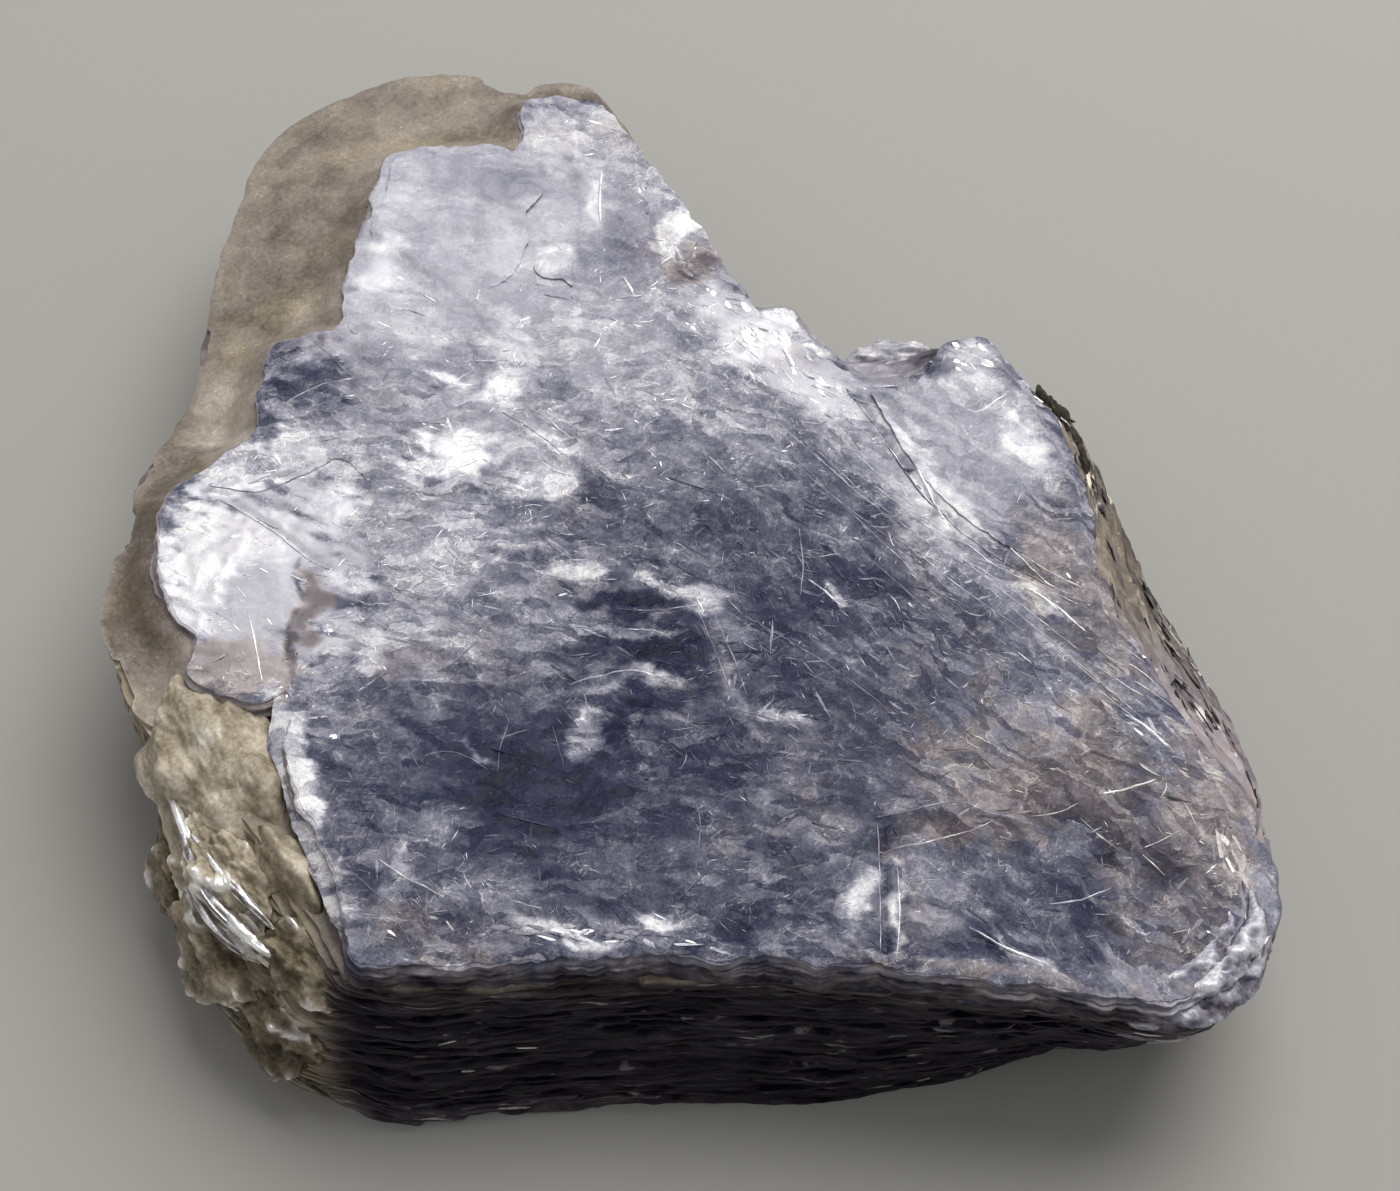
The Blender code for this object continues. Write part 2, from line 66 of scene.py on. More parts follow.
# Each stretch of the outline: how its wall climbs, how far it bulges, and its points at the foot and the top.
FRONT_WALL = (1, 0.25, [
    ((-20.5, -35.4), (-19.6, -33.4)), ((-17.3, -36.4), (-16.5, -33.9)), ((-13.5, -36.1), (-12.5, -33.8)),
    ((-9, -35.5), (-8, -33.5)), ((-3, -35), (-2.5, -33.2)), ((4, -34.9), (4, -33.4)),
    ((9.5, -34.6), (10, -33.9)), ((15.3, -33.5), (15.5, -34.5)), ((20.5, -31.8), (20.8, -35)),
])
UNDERCUT_CORNER = (0.6, 0.3, [
    ((24.3, -29.8), (25.3, -35.9)), ((27.2, -27.7), (28.9, -36)), ((29.4, -25.5), (31.3, -34)),
    ((31.2, -22.8), (33.3, -31)), ((32.4, -19.5), (34.4, -27.4)),
])
RIGHT_FLANK = (2, 1.1, [
    ((33.5, -15.3), (33.9, -23.6)), ((33.3, -11.2), (32.6, -20.2)), ((32.4, -7.4), (30.2, -16.4)),
    ((31.1, -3.7), (28.2, -12.7)), ((29.7, -0.3), (26.7, -8.6)), ((28.4, 3), (25.7, -4)),
    ((27.2, 6.5), (25.2, 0.2)), ((26, 9.8), (24.6, 4.2)), ((24.6, 12.6), (23.6, 7.6)),
    ((22.6, 14.4), (22.3, 9.2)),
])
BACK_NOTCH = (3, 0.8, [
    ((20, 14.6), (20.7, 11.4)), ((17.5, 15.8), (18.8, 13.2)), ((15.2, 17.8), (16.8, 12.6)),
    ((12.8, 19.2), (14.2, 10.5)), ((10.6, 18.6), (11.7, 10.2)), ((8.6, 16.8), (10.1, 11.6)),
    ((6.8, 16.4), (8.6, 14)), ((5, 17.2), (6.6, 17)), ((3.2, 18.6), (4, 17.1)),
])
BACK_EDGE = (1, 0.3, [
    ((1.8, 21), (2.3, 19.8)), ((0.2, 24), (0.7, 23.3)), ((-1.8, 27.4), (-1.5, 27.2)),
    ((-3.8, 31.2), (-3.7, 31.9)), ((-5.8, 34.6), (-5.6, 36)), ((-8, 37), (-7.4, 38.4)),
    ((-10.6, 36.6), (-10.6, 38.4)),
])
BACK_FRINGE = (1, 0.3, [
    ((-12.4, 35.4), (-12.4, 37.4)), ((-15.5, 37.2), (-15.8, 39.4)), ((-19, 37.4), (-19.6, 39.4)),
    ((-23, 35.8), (-24, 37.8)), ((-26.8, 33.6), (-27.8, 35.6)), ((-28.6, 31.2), (-29.9, 33.2)),
])
LEFT_FRINGE = (1, 0.3, [
    ((-29.6, 26.5), (-31, 28)), ((-30.6, 22), (-32, 22.5)), ((-31.4, 17), (-32.6, 17.4)),
    ((-31.6, 12), (-32.9, 12)), ((-32.6, 7.2), (-34, 7.2)), ((-33.8, 2.8), (-35.4, 2.8)),
    ((-34.2, -2), (-35.8, -2.2)), ((-34.8, -6), (-36.6, -6.6)), ((-34.8, -9.5), (-35.8, -10.6)),
])
LUMPY_FLANK = (1.8, 0.9, [
    ((-33.4, -13.5), (-33, -15.8)), ((-32.8, -17.2), (-29.8, -19)), ((-31.4, -21.2), (-26.8, -22.2)),
    ((-30, -25.2), (-24.4, -25.2)), ((-28.6, -28.6), (-22.6, -28.2)), ((-26.6, -31.4), (-21.2, -30.6)),
    ((-23.8, -33.8), (-20.3, -32.4)),
])
OUTLINE = [FRONT_WALL, UNDERCUT_CORNER, RIGHT_FLANK, BACK_NOTCH, BACK_EDGE, BACK_FRINGE, LEFT_FRINGE,
           LUMPY_FLANK]

# The upper plate, anticlockwise from its left-front corner.
PLATE_FRONT = [(-19, -33), (-16, -33.3), (-12, -33.1), (-8, -32.9), (-2.5, -32.7), (4, -32.9), (10, -33.4),
    (15.5, -34.1), (20.8, -34.8), (25.2, -35.3), (28, -35)]
PLATE_RIGHT = [(30, -32.8), (31.4, -30), (32.2, -27), (32.2, -24), (31, -21.5), (29.3, -18.5),
    (27.6, -15.2), (26, -11.5), (25.2, -8), (24.7, -4), (24.2, 0), (23.2, 3.4), (22.2, 6.5)]
PLATE_BACK = [(20.9, 9), (20, 10.9), (18.8, 12.4), (17.5, 12.5), (16.4, 11.6), (15.4, 9.9), (14, 8.9),
    (12, 8.9), (10.4, 9.6), (8.6, 10.9), (6.6, 12.3), (4.8, 14.4), (3.2, 16.6), (2, 18.9), (0.5, 22.2),
    (-1.6, 26.2), (-4, 30), (-5.8, 33.4), (-7.4, 35), (-11.6, 34.6)]
PLATE_LEFT = [(-11.9, 30.4), (-14.5, 30.6), (-20.4, 30), (-21.4, 27), (-21.6, 24.2), (-22.4, 21),
    (-23, 17.8), (-23.2, 13.8), (-27.4, 12.6), (-27.9, 9), (-27.8, 5.8), (-30.2, 3.2), (-33, 0),
    (-33.2, -4.5), (-32.2, -8), (-30.4, -10.5), (-30.4, -13.4), (-27, -15.4), (-24.4, -14.6),
    (-24.1, -19.4), (-22.2, -24), (-20.6, -27.8), (-19.8, -31)]
PLATE = PLATE_FRONT + PLATE_RIGHT + PLATE_BACK + PLATE_LEFT

# --- Numbers and curves ---


def smoothstep(low, high, value):
    t = np.clip((value - low) / (high - low), 0.0, 1.0)
    return t * t * (3 - 2 * t)


def waves(x, y, size, layer):
    """Smooth noise, mostly between -0.7 and 0.7, with bumps about size across."""
    x, y = np.broadcast_arrays(np.atleast_1d(x) / size, np.atleast_1d(y) / size)
    found = [noise.noise((a, b, layer)) for a, b in zip(x.ravel(), y.ravel())]
    return np.array(found).reshape(x.shape)


def rough(x, y, size, layer, octaves=3):
    """Noise with finer noise on it, each octave half as wide and half as high."""
    return sum(waves(x, y, size / 2 ** k, layer + 7.3 * k) / 2 ** k for k in range(octaves))


def hill(x, y, centre, radius):
    return np.exp(-((x - centre[0]) ** 2 + (y - centre[1]) ** 2) / (2 * radius ** 2))


def turned(x, y, degrees):
    """Places turned anticlockwise about the origin."""
    c, s = math.cos(math.radians(degrees)), math.sin(math.radians(degrees))
    return x * c - y * s, x * s + y * c


CORNER_DROOP = ((29.0, -33.0), 4.5)  # where the right-front corner droops, and how widely
SHEET_CURL = ((17.6, 12.0), 2.6)  # where the folded sheet's tip curls up
BEND_FADE = 1.6  # how fast the bend of the top dies away towards the flat underside


def relief(x, y):
    """How far the sheets at the top are bent up or down at a point."""
    bend = 0.8 * waves(x, y, 17, 3.1)
    bend -= 1.5 * smoothstep(-22, -34, x) * smoothstep(2, 12, y)  # the brown fringe falls outwards
    bend -= 0.8 * smoothstep(24, 38, y)  # the back falls a little
    bend -= 0.9 * hill(x, y, *CORNER_DROOP)
    bend += 0.5 * hill(x, y, *SHEET_CURL)
    return bend


def bent(points):
    """Points of the flat book, in millimetres, moved to where the bent book has them, in metres."""
    points = np.array(points, float)
    share = np.clip(points[:, 2] / BOOK_TOP, 0, 1) ** BEND_FADE
    points[:, 2] += share * relief(points[:, 0], points[:, 1])
    points[:, :2] -= OUTLINE_CENTRE
    return points * MM


def curve_at(knots, t):
    """Points of the smooth closed curve through the knots, at places counted in knots."""
    before = np.floor(t).astype(int)
    u = (t - before)[:, None]
    a, b, c, d = (knots[(before + k) % len(knots)] for k in (-1, 0, 1, 2))
    return b + 0.5 * u * (c - a + u * (2 * a - 5 * b + 4 * c - d + u * (3 * (b - c) + d - a)))


def run_of(line):
    """How far along a line each of its points is."""
    return np.concatenate([[0], np.cumsum(np.linalg.norm(np.diff(line, axis=0), axis=1))])


SAMPLES = 24  # samples a knot from which a curve's length is measured


def even_places(knots, step):
    """Places on the closed curve through the knots, counted in knots, that lie about step apart."""
    t = np.linspace(0, len(knots), SAMPLES * len(knots) + 1)
    run = run_of(curve_at(knots, t))
    count = int(run[-1] / step)
    return np.interp(np.arange(count) * run[-1] / count, run, t)


def drawn(line, step, fewest):
    """Points about step apart on a smooth curve through an open line, and how far along it each one is."""
    run = run_of(line)
    at = np.linspace(0, run[-1], max(int(run[-1] / step), fewest))
    places = np.interp(at, run, np.arange(len(line))).clip(0.001)
    return curve_at(np.concatenate([line, line[-1:]]), places), at


def outward(loop):
    """The directions out of an anticlockwise loop at each of its points."""
    along = np.roll(loop, -1, 0) - np.roll(loop, 1, 0)
    along /= np.linalg.norm(along, axis=1)[:, None]
    return np.stack([along[:, 1], -along[:, 0]], 1)


def from_line(x, y, line):
    """The distance of points from a bent line, and how far along it the nearest place is, from 0 to 1."""
    line = np.array(line, float)
    run = run_of(line)
    best, where = np.full(np.shape(x), np.inf), np.zeros(np.shape(x))
    for start, end, length, before in zip(line, line[1:], np.linalg.norm(np.diff(line, axis=0), axis=1), run):
        along = (end - start) / length
        at = np.clip((x - start[0]) * along[0] + (y - start[1]) * along[1], 0, length)
        away = np.hypot(x - start[0] - at * along[0], y - start[1] - at * along[1])
        nearer = away < best
        best = np.where(nearer, away, best)
        where = np.where(nearer, (before + at) / run[-1], where)
    return best, where


# --- Meshes ---


ROW_SPACING = math.sqrt(0.75)  # between the rows of a triangular pattern, as a share of its spacing
CLEARANCE = 0.5  # between filling points and the edge around them, as a share of their spacing
SAME_POINT = 1e-7  # points nearer than this are joined when a loop is filled


def filling(loop, spacing):
    """Points in a triangular pattern inside a loop, clear of its edge."""
    ends = np.roll(loop, -1, 0)
    found = []
    for row, y in enumerate(np.arange(loop[:, 1].min(), loop[:, 1].max(), spacing * ROW_SPACING)):
        cut = (loop[:, 1] > y) != (ends[:, 1] > y)
        a, b = loop[cut], ends[cut]
        cuts = np.sort(a[:, 0] + (y - a[:, 1]) * (b[:, 0] - a[:, 0]) / (b[:, 1] - a[:, 1]))
        shift = 0.5 * (row % 2)
        for left, right in zip(cuts[::2], cuts[1::2]):
            x = (np.arange(math.ceil(left / spacing - shift), right / spacing - shift) + shift) * spacing
            found.append(np.stack([x, np.full_like(x, y)], 1))
    points = np.concatenate(found)
    edge = kdtree.KDTree(len(loop))
    for index, (x, y) in enumerate(loop):
        edge.insert((x, y, 0), index)
    edge.balance()
    clear = [edge.find((x, y, 0))[2] > CLEARANCE * spacing for x, y in points]
    return points[clear]


def cap(loop, inner):
    """Triangles that fill a loop through the points inside it. They count the loop's points first."""
    points = [Vector(p) for p in np.concatenate([loop, inner])]
    edges = [(i, (i + 1) % len(loop)) for i in range(len(loop))]
    made = geometry.delaunay_2d_cdt(points, edges, [], 1, SAME_POINT)
    return np.array([p[:] for p in made[0]]), np.array(made[2])


def lofted(rings, tops, floors, top_height, floor_height):
    """Points and triangles of a closed skin: a wall through rings, from the lowest up, and a cap at each end.

    A ring is points (x, y, height). The caps also go through the points tops and floors, at heights of their
    own.
    """
    count = len(rings[0])
    points = list(rings)
    faces = []
    here = np.arange(count)
    after = (here + 1) % count
    for level in range(len(rings) - 1):
        low, high = level * count, (level + 1) * count
        faces.append(np.stack([here + low, after + low, after + high], 1))
        faces.append(np.stack([here + low, after + high, here + high], 1))
    total = len(rings) * count
    ends = ((rings[-1], tops, top_height, len(rings) - 1, 1), (rings[0], floors, floor_height, 0, -1))
    for ring, inner, height, level, side in ends:
        flat, triangles = cap(ring[:, :2], inner)
        extra = flat[count:]
        places = np.concatenate([here + level * count, np.arange(len(extra)) + total])
        faces.append(places[triangles][:, ::side])
        points.append(np.column_stack([extra, height(extra[:, 0], extra[:, 1])]))
        total += len(extra)
    return np.concatenate(points), np.concatenate(faces)


def make_piece(name, points, faces, material, paint, sharp=40):
    """A mesh object made of points in metres and triangles, which carries its paint on its points."""
    mesh = bpy.data.meshes.new(name)
    mesh.vertices.add(len(points))
    mesh.vertices.foreach_set("co", np.asarray(points, np.float32).ravel())
    mesh.loops.add(3 * len(faces))
    mesh.loops.foreach_set("vertex_index", np.asarray(faces, np.int32).ravel())
    mesh.polygons.add(len(faces))
    mesh.polygons.foreach_set("loop_start", np.arange(0, 3 * len(faces), 3, dtype=np.int32))
    mesh.update(calc_edges=True)
    mesh.validate()
    mesh.shade_smooth()
    if sharp:
        mesh.set_sharp_from_angle(angle=math.radians(sharp))
    for key, values in paint.items():
        layer = mesh.attributes.new(key, "FLOAT", "POINT")
        layer.data.foreach_set("value", np.asarray(values, np.float32))
    mesh.materials.append(material)
    piece = bpy.data.objects.new(name, mesh)
    bpy.context.scene.collection.objects.link(piece)
    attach(piece, "root")
    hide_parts("mica_crystal")
    return piece


# --- Paint: how light, brown, silvery and wispy each place is ---

# Patches of the upper face: centre x and y, radii, level, turn in degrees, and how soft the edge is, as a
# share of the radii. A patch that leaves out its last values has those of PATCH_ENDS. Later patches lie over
# earlier ones. Tone is how light a place looks, from 0, black, to 1, white.
PATCH_ENDS = [0, 0.5]  # turn and softness
FACE_TONE = 0.50
# The broad tones are partly the face's own colour and partly painted sheen: the back of the face is painted
# lighter and the front darker, as where the glossy face mirrors the window behind it.
BROAD_TONES_AND_SHEEN = [
    (-12, 20, 13, 16, 0.74, 10),  # the pale back left, partly painted sheen
    (-20, 20, 6, 14, 0.74, 0, 0.4), (-3, 17, 5, 9, 0.68, -30, 0.6), (-10, 7, 13, 6, 0.68, -12, 0.6),
    (-17, -3, 9, 6, 0.64, 0, 0.6), (-17, -12, 7, 5, 0.62, 10, 0.7),
    (3, 1, 10, 7, 0.54, -25, 0.6),  # the slate middle
    (7, -9, 13, 8, 0.35, -38, 0.6), (5, -17, 10, 5, 0.3, -15, 0.7), (-8, -22, 13, 8, 0.27, -5, 0.6),
    (3, -27, 12, 4, 0.4, 0, 0.7), (-15, -29, 6, 3, 0.44, -20, 0.7), (21, -17, 8, 8, 0.48, -20, 0.6),
    (22, -27, 9, 6, 0.4, 10, 0.6), (31, -26, 3, 8, 0.54, 10, 0.6),
    (17, 4, 6.5, 9, 0.69, 15, 0.3),  # the folded sheet
    (22, -5, 3, 4, 0.53, -20, 0.7),
    (5.5, 12, 7, 3, 0.76, -48, 0.4),  # the bright back edge, a painted reflection
    (-27, -6, 6, 8, 0.78, 0, 0.3),  # the facets at the left, painted highlights
]
DARK_TONES = [
    (-18.2, -15.4, 3.4, 2.8, 0.49, 25, 0.95),
    (-3.6, -8, 3.3, 1, 0.09, -8, 0.35),  # the black band
    (-2.2, -11.4, 3.3, 1.5, 0.03, -5, 0.4), (-0.9, -9.7, 1.2, 1, 0.16),
    (-6.2, -11.2, 1.8, 0.9, 0.27, 10, 0.6), (-10.6, -20.6, 7, 4.6, 0.2, -5, 0.95),
    (-11.2, -20.2, 4.8, 3.8, 0.01, -10),  # the navy window
    (-14.2, -18, 2.8, 1.2, 0.1, 8), (-9, -24, 2.4, 2.2, 0.1, 20, 0.6),
    (-5.8, -21.8, 3.2, 1.9, 0.11, 0, 0.6), (-10.2, -17, 2.6, 1.5, 0.14),
    (-11.6, -15.2, 2.6, 1.3, 0.28, 14, 0.95), (-16.2, -21.6, 2.8, 1.5, 0.27, -8, 0.6),
    (-12.2, -25.2, 1.5, 1.1, 0.22, 0, 0.6), (-18.6, -21, 1.6, 1.3, 0.3, 0, 0.6),
    (-4.1, -18.8, 1.1, 3.1, 0.06, 6), (-2, -15.3, 1.7, 0.9, 0.15), (0.2, -14.2, 0.9, 0.9, 0.18),
    (0.4, -20.8, 3.6, 1.8, 0.2, -10, 0.6), (1.6, -17.2, 1.8, 1.2, 0.26, 0, 0.6),
    (-3, -26, 2.6, 3, 0.26, 0, 0.6), (-7, -28.7, 2.2, 0.9, 0.22, -25), (-5.2, -29.8, 1.3, 0.6, 0.24, -20),
    (-19, -28.2, 0.9, 1.5, 0.27), (3.8, -6.9, 1.8, 1.4, 0.27), (8.4, -9, 2.4, 1.2, 0.26, -35),
    (11, -6, 2.4, 1, 0.3, -40, 0.6), (4.2, -13.2, 2.2, 0.9, 0.27, -15), (8.2, -14.4, 1.7, 0.7, 0.28, -20),
    (13.6, -14.4, 2.6, 2.6, 0.34, 20, 0.6), (11.8, -1.6, 1.3, 1.3, 0.33, 0, 0.6),
    (7.6, -22.4, 2.2, 1.1, 0.3, 0, 0.6), (10.6, -24.6, 1.2, 1.1, 0.3),
    (13.2, -24.1, 2.2, 0.75, 0.23, 8, 0.35), (5, -26.2, 0.7, 1.3, 0.3, 0, 0.6),
    (3.6, -30.6, 1.7, 0.9, 0.25), (7.4, -30.2, 1.3, 0.9, 0.28), (19, -29.6, 2.7, 1.7, 0.26, -10),
    (23, -29.8, 2.2, 1.9, 0.24), (16.2, -31.3, 1, 0.6, 0.24, -20), (13.5, -32.3, 7.5, 1.4, 0.31, 0, 0.7),
    (24, -26.2, 1, 0.9, 0.24), (27.6, -26.8, 1.7, 2.2, 0.31, 10, 0.6), (21, -27.4, 1.6, 0.7, 0.28, 0, 0.6),
    (21.6, -23.6, 1.6, 0.9, 0.36, 10, 0.6), (27, -18.8, 1.4, 1.5, 0.36, 0, 0.6),
    (26.2, -21.8, 1.8, 0.8, 0.4, 15, 0.6), (18.4, -14.2, 1.3, 1.1, 0.36),
    (18.8, -9.2, 1.9, 1.9, 0.39, 0, 0.6), (-6.2, 0.5, 1.6, 1.8, 0.3, -30),
    (-2.4, 3.6, 4.4, 2, 0.6, -10, 0.7), (2, 5.2, 4, 2.6, 0.63, -30, 0.7),
    (4.4, 6.8, 2.4, 1.2, 0.62, -35, 0.6), (-10.2, -4.7, 1.8, 0.7, 0.37),
    (-12.2, -8.6, 1.6, 0.7, 0.4, 0, 0.6), (-21.4, -8, 1.6, 0.5, 0.4, 8), (-23.6, -8.4, 0.8, 2.8, 0.45),
    (-24.5, -9, 0.25, 5.5, 0.34, 2), (-5, 21.4, 2.2, 2.4, 0.57, -20, 0.6), (0.2, 19.2, 1.7, 1.1, 0.44, 25),
    (-12.6, 27, 2.4, 1.6, 0.63, -8), (-17.6, 28, 3, 2.2, 0.66, 0, 0.6),
    (-25, 9.6, 2.6, 1.6, 0.3, 10),  # the dark facet
    (-23, 8.4, 1.6, 1.6, 0.36), (-20, 8.6, 2.4, 3.6, 0.58, 0, 0.6), (16.2, 10.8, 1.1, 1, 0.35, 0, 0.4),
]
# Lighter patches: a few are pale flakes of the face's own colour, but most are painted highlights, the window's
# reflection on flakes tipped towards it.
PALE_AND_HIGHLIGHT_TONES = [
    (-23.6, -20.5, 9, 1.1, 0.86, -71, 0.3),  # the sliver down the left side
    (15, 1.8, 4.6, 0.75, 0.84, -60, 0.35),  # a painted highlight beside the diagonal fold
    (-30.2, -5.4, 3.3, 5.2, 0.9, 12, 0.2),  # the bright facets, painted highlights
    (-26.6, -3.6, 2.8, 2.6, 0.86, 0, 0.35), (-27.2, -8.4, 2.4, 3.2, 0.77, 0, 0.4),
    (-28.9, 2.6, 2, 2.4, 0.87, -20, 0.2), (-25.6, 3.8, 1.6, 2.2, 0.88, 0, 0.25),
    (-28.2, -12.6, 3.4, 1.8, 0.64, -10, 0.4), (-9.3, 20.2, 1.1, 1.9, 0.86, 0, 0.3),
    (-1, 22.8, 1, 2.6, 0.94, -30, 0.25),
    (7.2, 15.4, 3.6, 1.4, 0.9, -38, 0.2),  # the silver flake behind the bright edge, a painted reflection
    (30.2, -31.2, 2.8, 3.2, 0.5, 30, 0.4),  # the silvery corner, painted sheen
    (33, -26.5, 1.4, 4.6, 0.6, 8, 0.4), (27, -34, 2.6, 0.8, 0.5),
    (17.5, -33.7, 8, 0.5, 0.53, -7, 0.6),  # the pale line of the rim
    (-20.9, 18.2, 1.3, 2, 0.86, -8), (-20, 21.2, 1, 1, 0.9, 0, 0.6), (-19.4, 25.4, 1.4, 3.2, 0.78, -6, 0.6),
    (-12.6, 20.6, 1.8, 2.3, 0.8), (-9.4, 32, 2.1, 3, 0.79, 5, 0.4), (-6.6, 25.2, 0.6, 2.8, 0.86, -6),
    (-17.6, 13.6, 2.2, 1.6, 0.8, 10, 0.6), (-12, 12.8, 1.5, 2.2, 0.82, 20), (-12.4, 8.6, 1.2, 1.5, 0.9, 35),
    (-15.4, 9.7, 1.6, 0.5, 0.88, -20), (-5.6, 15.6, 3, 2.4, 0.74, 0, 0.6),
    (-0.8, 9.2, 2.2, 2.2, 0.7, 0, 0.6), (1.4, 15.8, 1.1, 1.6, 0.82, 0, 0.4),
    (4.2, 12.6, 2.4, 2.8, 0.86, -40, 0.45), (8.6, 8.2, 3.2, 1.5, 0.82, -35),
    (-15.2, 3.3, 3, 1.7, 0.9, 15, 0.35), (-9.6, 1.2, 2, 1.3, 0.88), (-8.4, 4, 1.9, 0.7, 0.86, -20),
    (-23.2, 3.4, 2, 2.4, 0.8, 0, 0.6), (-22.6, -0.6, 1.8, 1.4, 0.86, 0, 0.6),
    (-20.9, -6.3, 1.7, 0.45, 0.85, 4), (-15.2, -4.4, 1.9, 3, 0.7, 12, 0.6), (-7.2, -5.2, 1.2, 0.8, 0.84),
    (-1.7, -6.2, 3, 0.4, 0.7, -22, 0.7), (0.5, -7.4, 1.3, 0.8, 0.72, -15, 0.6),
    (-3.4, -10.1, 2.4, 0.22, 0.55, -4, 0.6), (-19.3, -10.6, 0.8, 2, 0.7, 0, 0.6),
    (-19.2, -12.8, 0.9, 0.9, 0.78), (-4.6, -13.7, 2.6, 0.5, 0.58, 8), (-2.7, -13.2, 0.8, 0.5, 0.72),
    (-6.3, -17.4, 0.8, 1.9, 0.58), (-12.9, -19, 1.4, 0.35, 0.5, -35),
    (-14.6, -24.6, 1.6, 1.1, 0.48, -20, 0.6), (-16.4, -26.9, 1.9, 0.3, 0.66, -42),
    (-12, -28.6, 2.4, 1.2, 0.52, -10, 0.7), (-8.2, -30.7, 1.9, 0.5, 0.8, -20),
    (-6, -31.6, 1.4, 0.4, 0.84, -20), (-1.8, -30.7, 1.4, 0.45, 0.86, -12),
    (2.6, -15, 0.5, 3.2, 0.5, 20, 0.6), (5.4, -16.6, 2, 0.45, 0.62, -25),
    (8.6, -7.1, 1.1, 0.35, 0.72, -50, 0.4), (9.4, -12.6, 3, 0.3, 0.5, -40), (14, -5, 3, 0.4, 0.54, -42),
    (15, -1, 1.6, 0.5, 0.86, -52, 0.4), (22, -8.1, 2.4, 0.55, 0.78, -36, 0.4),
    (9.7, -29, 0.7, 2, 0.8, 0, 0.4), (11.7, -29.6, 0.35, 2.5, 0.82, 0, 0.4),
    (13.9, -29, 1.6, 2.2, 0.5, 0, 0.6), (19, -32.6, 1.8, 0.35, 0.78, -33, 0.4), (18.2, 10.2, 1.8, 2, 0.82),
    (21.4, 4.6, 1.4, 2.4, 0.84, 20),
]
FACE_WARMS = [
    (-28.4, -12.8, 3.6, 2.4, 0.95, -10, 0.4), (20, -21, 8, 4, 0.8, -10, 0.6),
    (24.5, -20, 1.6, 8, 0.8, 5, 0.6), (18, -14, 1.6, 5, 0.5, 5, 0.6), (31, -22, 2.4, 6, 0.95, 8),
    (28, -27, 4, 8, 0.7), (22, -4, 3, 5, 0.5, 20, 0.6), (10, -24, 5, 3, 0.35, 0, 0.6),
    (25, -9, 3, 6, 0.7, 25, 0.6), (16, -24.5, 4, 1.2, 0.8, 15, 0.6), (-23.6, -8.4, 0.9, 3, 0.95),
    (-24.6, -12, 0.4, 5, 0.9), (0.3, 19.4, 2.2, 1.8, 0.9, 20), (-16, -31, 5, 2, 0.5, -20, 0.7),
    (-4, 33, 2, 4, 0.6, -20, 0.6), (17.5, -33.8, 9, 0.7, 0.6, -7, 0.6),
]
# The bare fringe is brown, and darker where its sheets are thick.
FRINGE_TONE = 0.53
FRINGE_TONES = [
    (-26, 24, 5, 12, 0.49, -8), (-25.5, 20, 3, 2.5, 0.46), (-14, 34, 3, 2.2, 0.43), (-17, 35.5, 5, 2, 0.53),
    (-21, 31, 2.6, 2.2, 0.58), (-8.4, 36.6, 3, 1.2, 0.4, 0, 0.4), (-29.8, 9.5, 2.6, 3, 0.58),
    (-30.2, 5.6, 2.6, 2.6, 0.62), (-25, 17, 2.6, 1.6, 0.56, 20), (-33, 3, 2, 3, 0.42),
    (-34.5, -6, 2.5, 7, 0.42), (-28, -17, 6, 5, 0.6),
]
FRAY_TURN = -22  # which way the patches' frayed edges are drawn out, in degrees
FRAY_STRETCH = 2.6
FRAY_SIZE = 0.9
PATCH_WANDER = (0.9, 2.2)  # how far the patches' edges stray, and how large the bends are


def patched(x, y, level, patches):
    """A level with patches of other levels over it, whose edges wander and fray."""
    level = np.full(np.shape(x), float(level))
    along, across = turned(x, y, -FRAY_TURN)
    fray = rough(along / FRAY_STRETCH, across, FRAY_SIZE, 45.0)
    fray = fray * (0.25 + 0.30 * smoothstep(12, 2, y + 0.5 * x))
    stray, bend = PATCH_WANDER
    x = x + stray * rough(x, y, bend, 41.0, 4)
    y = y + stray * rough(x, y, bend, 43.0, 4)
    for cx, cy, rx, ry, own, *ends in patches:
        turn, soft = ends + PATCH_ENDS[len(ends):]
        across, along = turned(x - cx, y - cy, -turn)
        share = 1 - smoothstep(1 - soft, 1 + soft, np.hypot(across / rx, along / ry) + fray)
        level += share * (own - level)
    return level


CLEAR_WINDOWS = [(-11, -20.4, 6, 4.2, 0.25, -5, 0.8)]  # where less mist lies over the navy depth


def face_paint(x, y):
    # The tone holds the face's own colour, with the painted sheen and highlights of the patches.
    tone = patched(x, y, FACE_TONE, BROAD_TONES_AND_SHEEN + DARK_TONES + PALE_AND_HIGHLIGHT_TONES)
    warm = patched(x, y, 0.0, FACE_WARMS)
    misty = 1 - patched(x, y, 0.0, CLEAR_WINDOWS)
    return {"tone": tone, "warm": warm, "silver": smoothstep(0.78, 0.95, tone),
            "wisp": misty * (1 - smoothstep(0.6, 0.8, patched(x, y, FACE_TONE, BROAD_TONES_AND_SHEEN))),
            "slant": smoothstep(-2, 6, x + 0.4 * y)}


def fringe_paint(x, y):
    tone = patched(x, y, FRINGE_TONE, FRINGE_TONES)
    none = np.zeros_like(tone)
    return {"tone": tone, "warm": np.ones_like(tone), "silver": none, "wisp": none}


# --- The book ---

WALL_STEP = 0.3  # distance between the points along a sheet's edge
LAMINA = (0.16, 0.42)  # the thinnest and the thickest sheet drawn in the book's wall
LAMINA_GAP = 0.02  # half the height over which one sheet's edge steps to the next
FRINGE_STEP = 0.3  # distance between the points of the book's bare top
HIDDEN_STEP = 2.0  # the same under the plate, where it doesn't show
UNDERSIDE_STEP = 4.0  # and on the flat underside
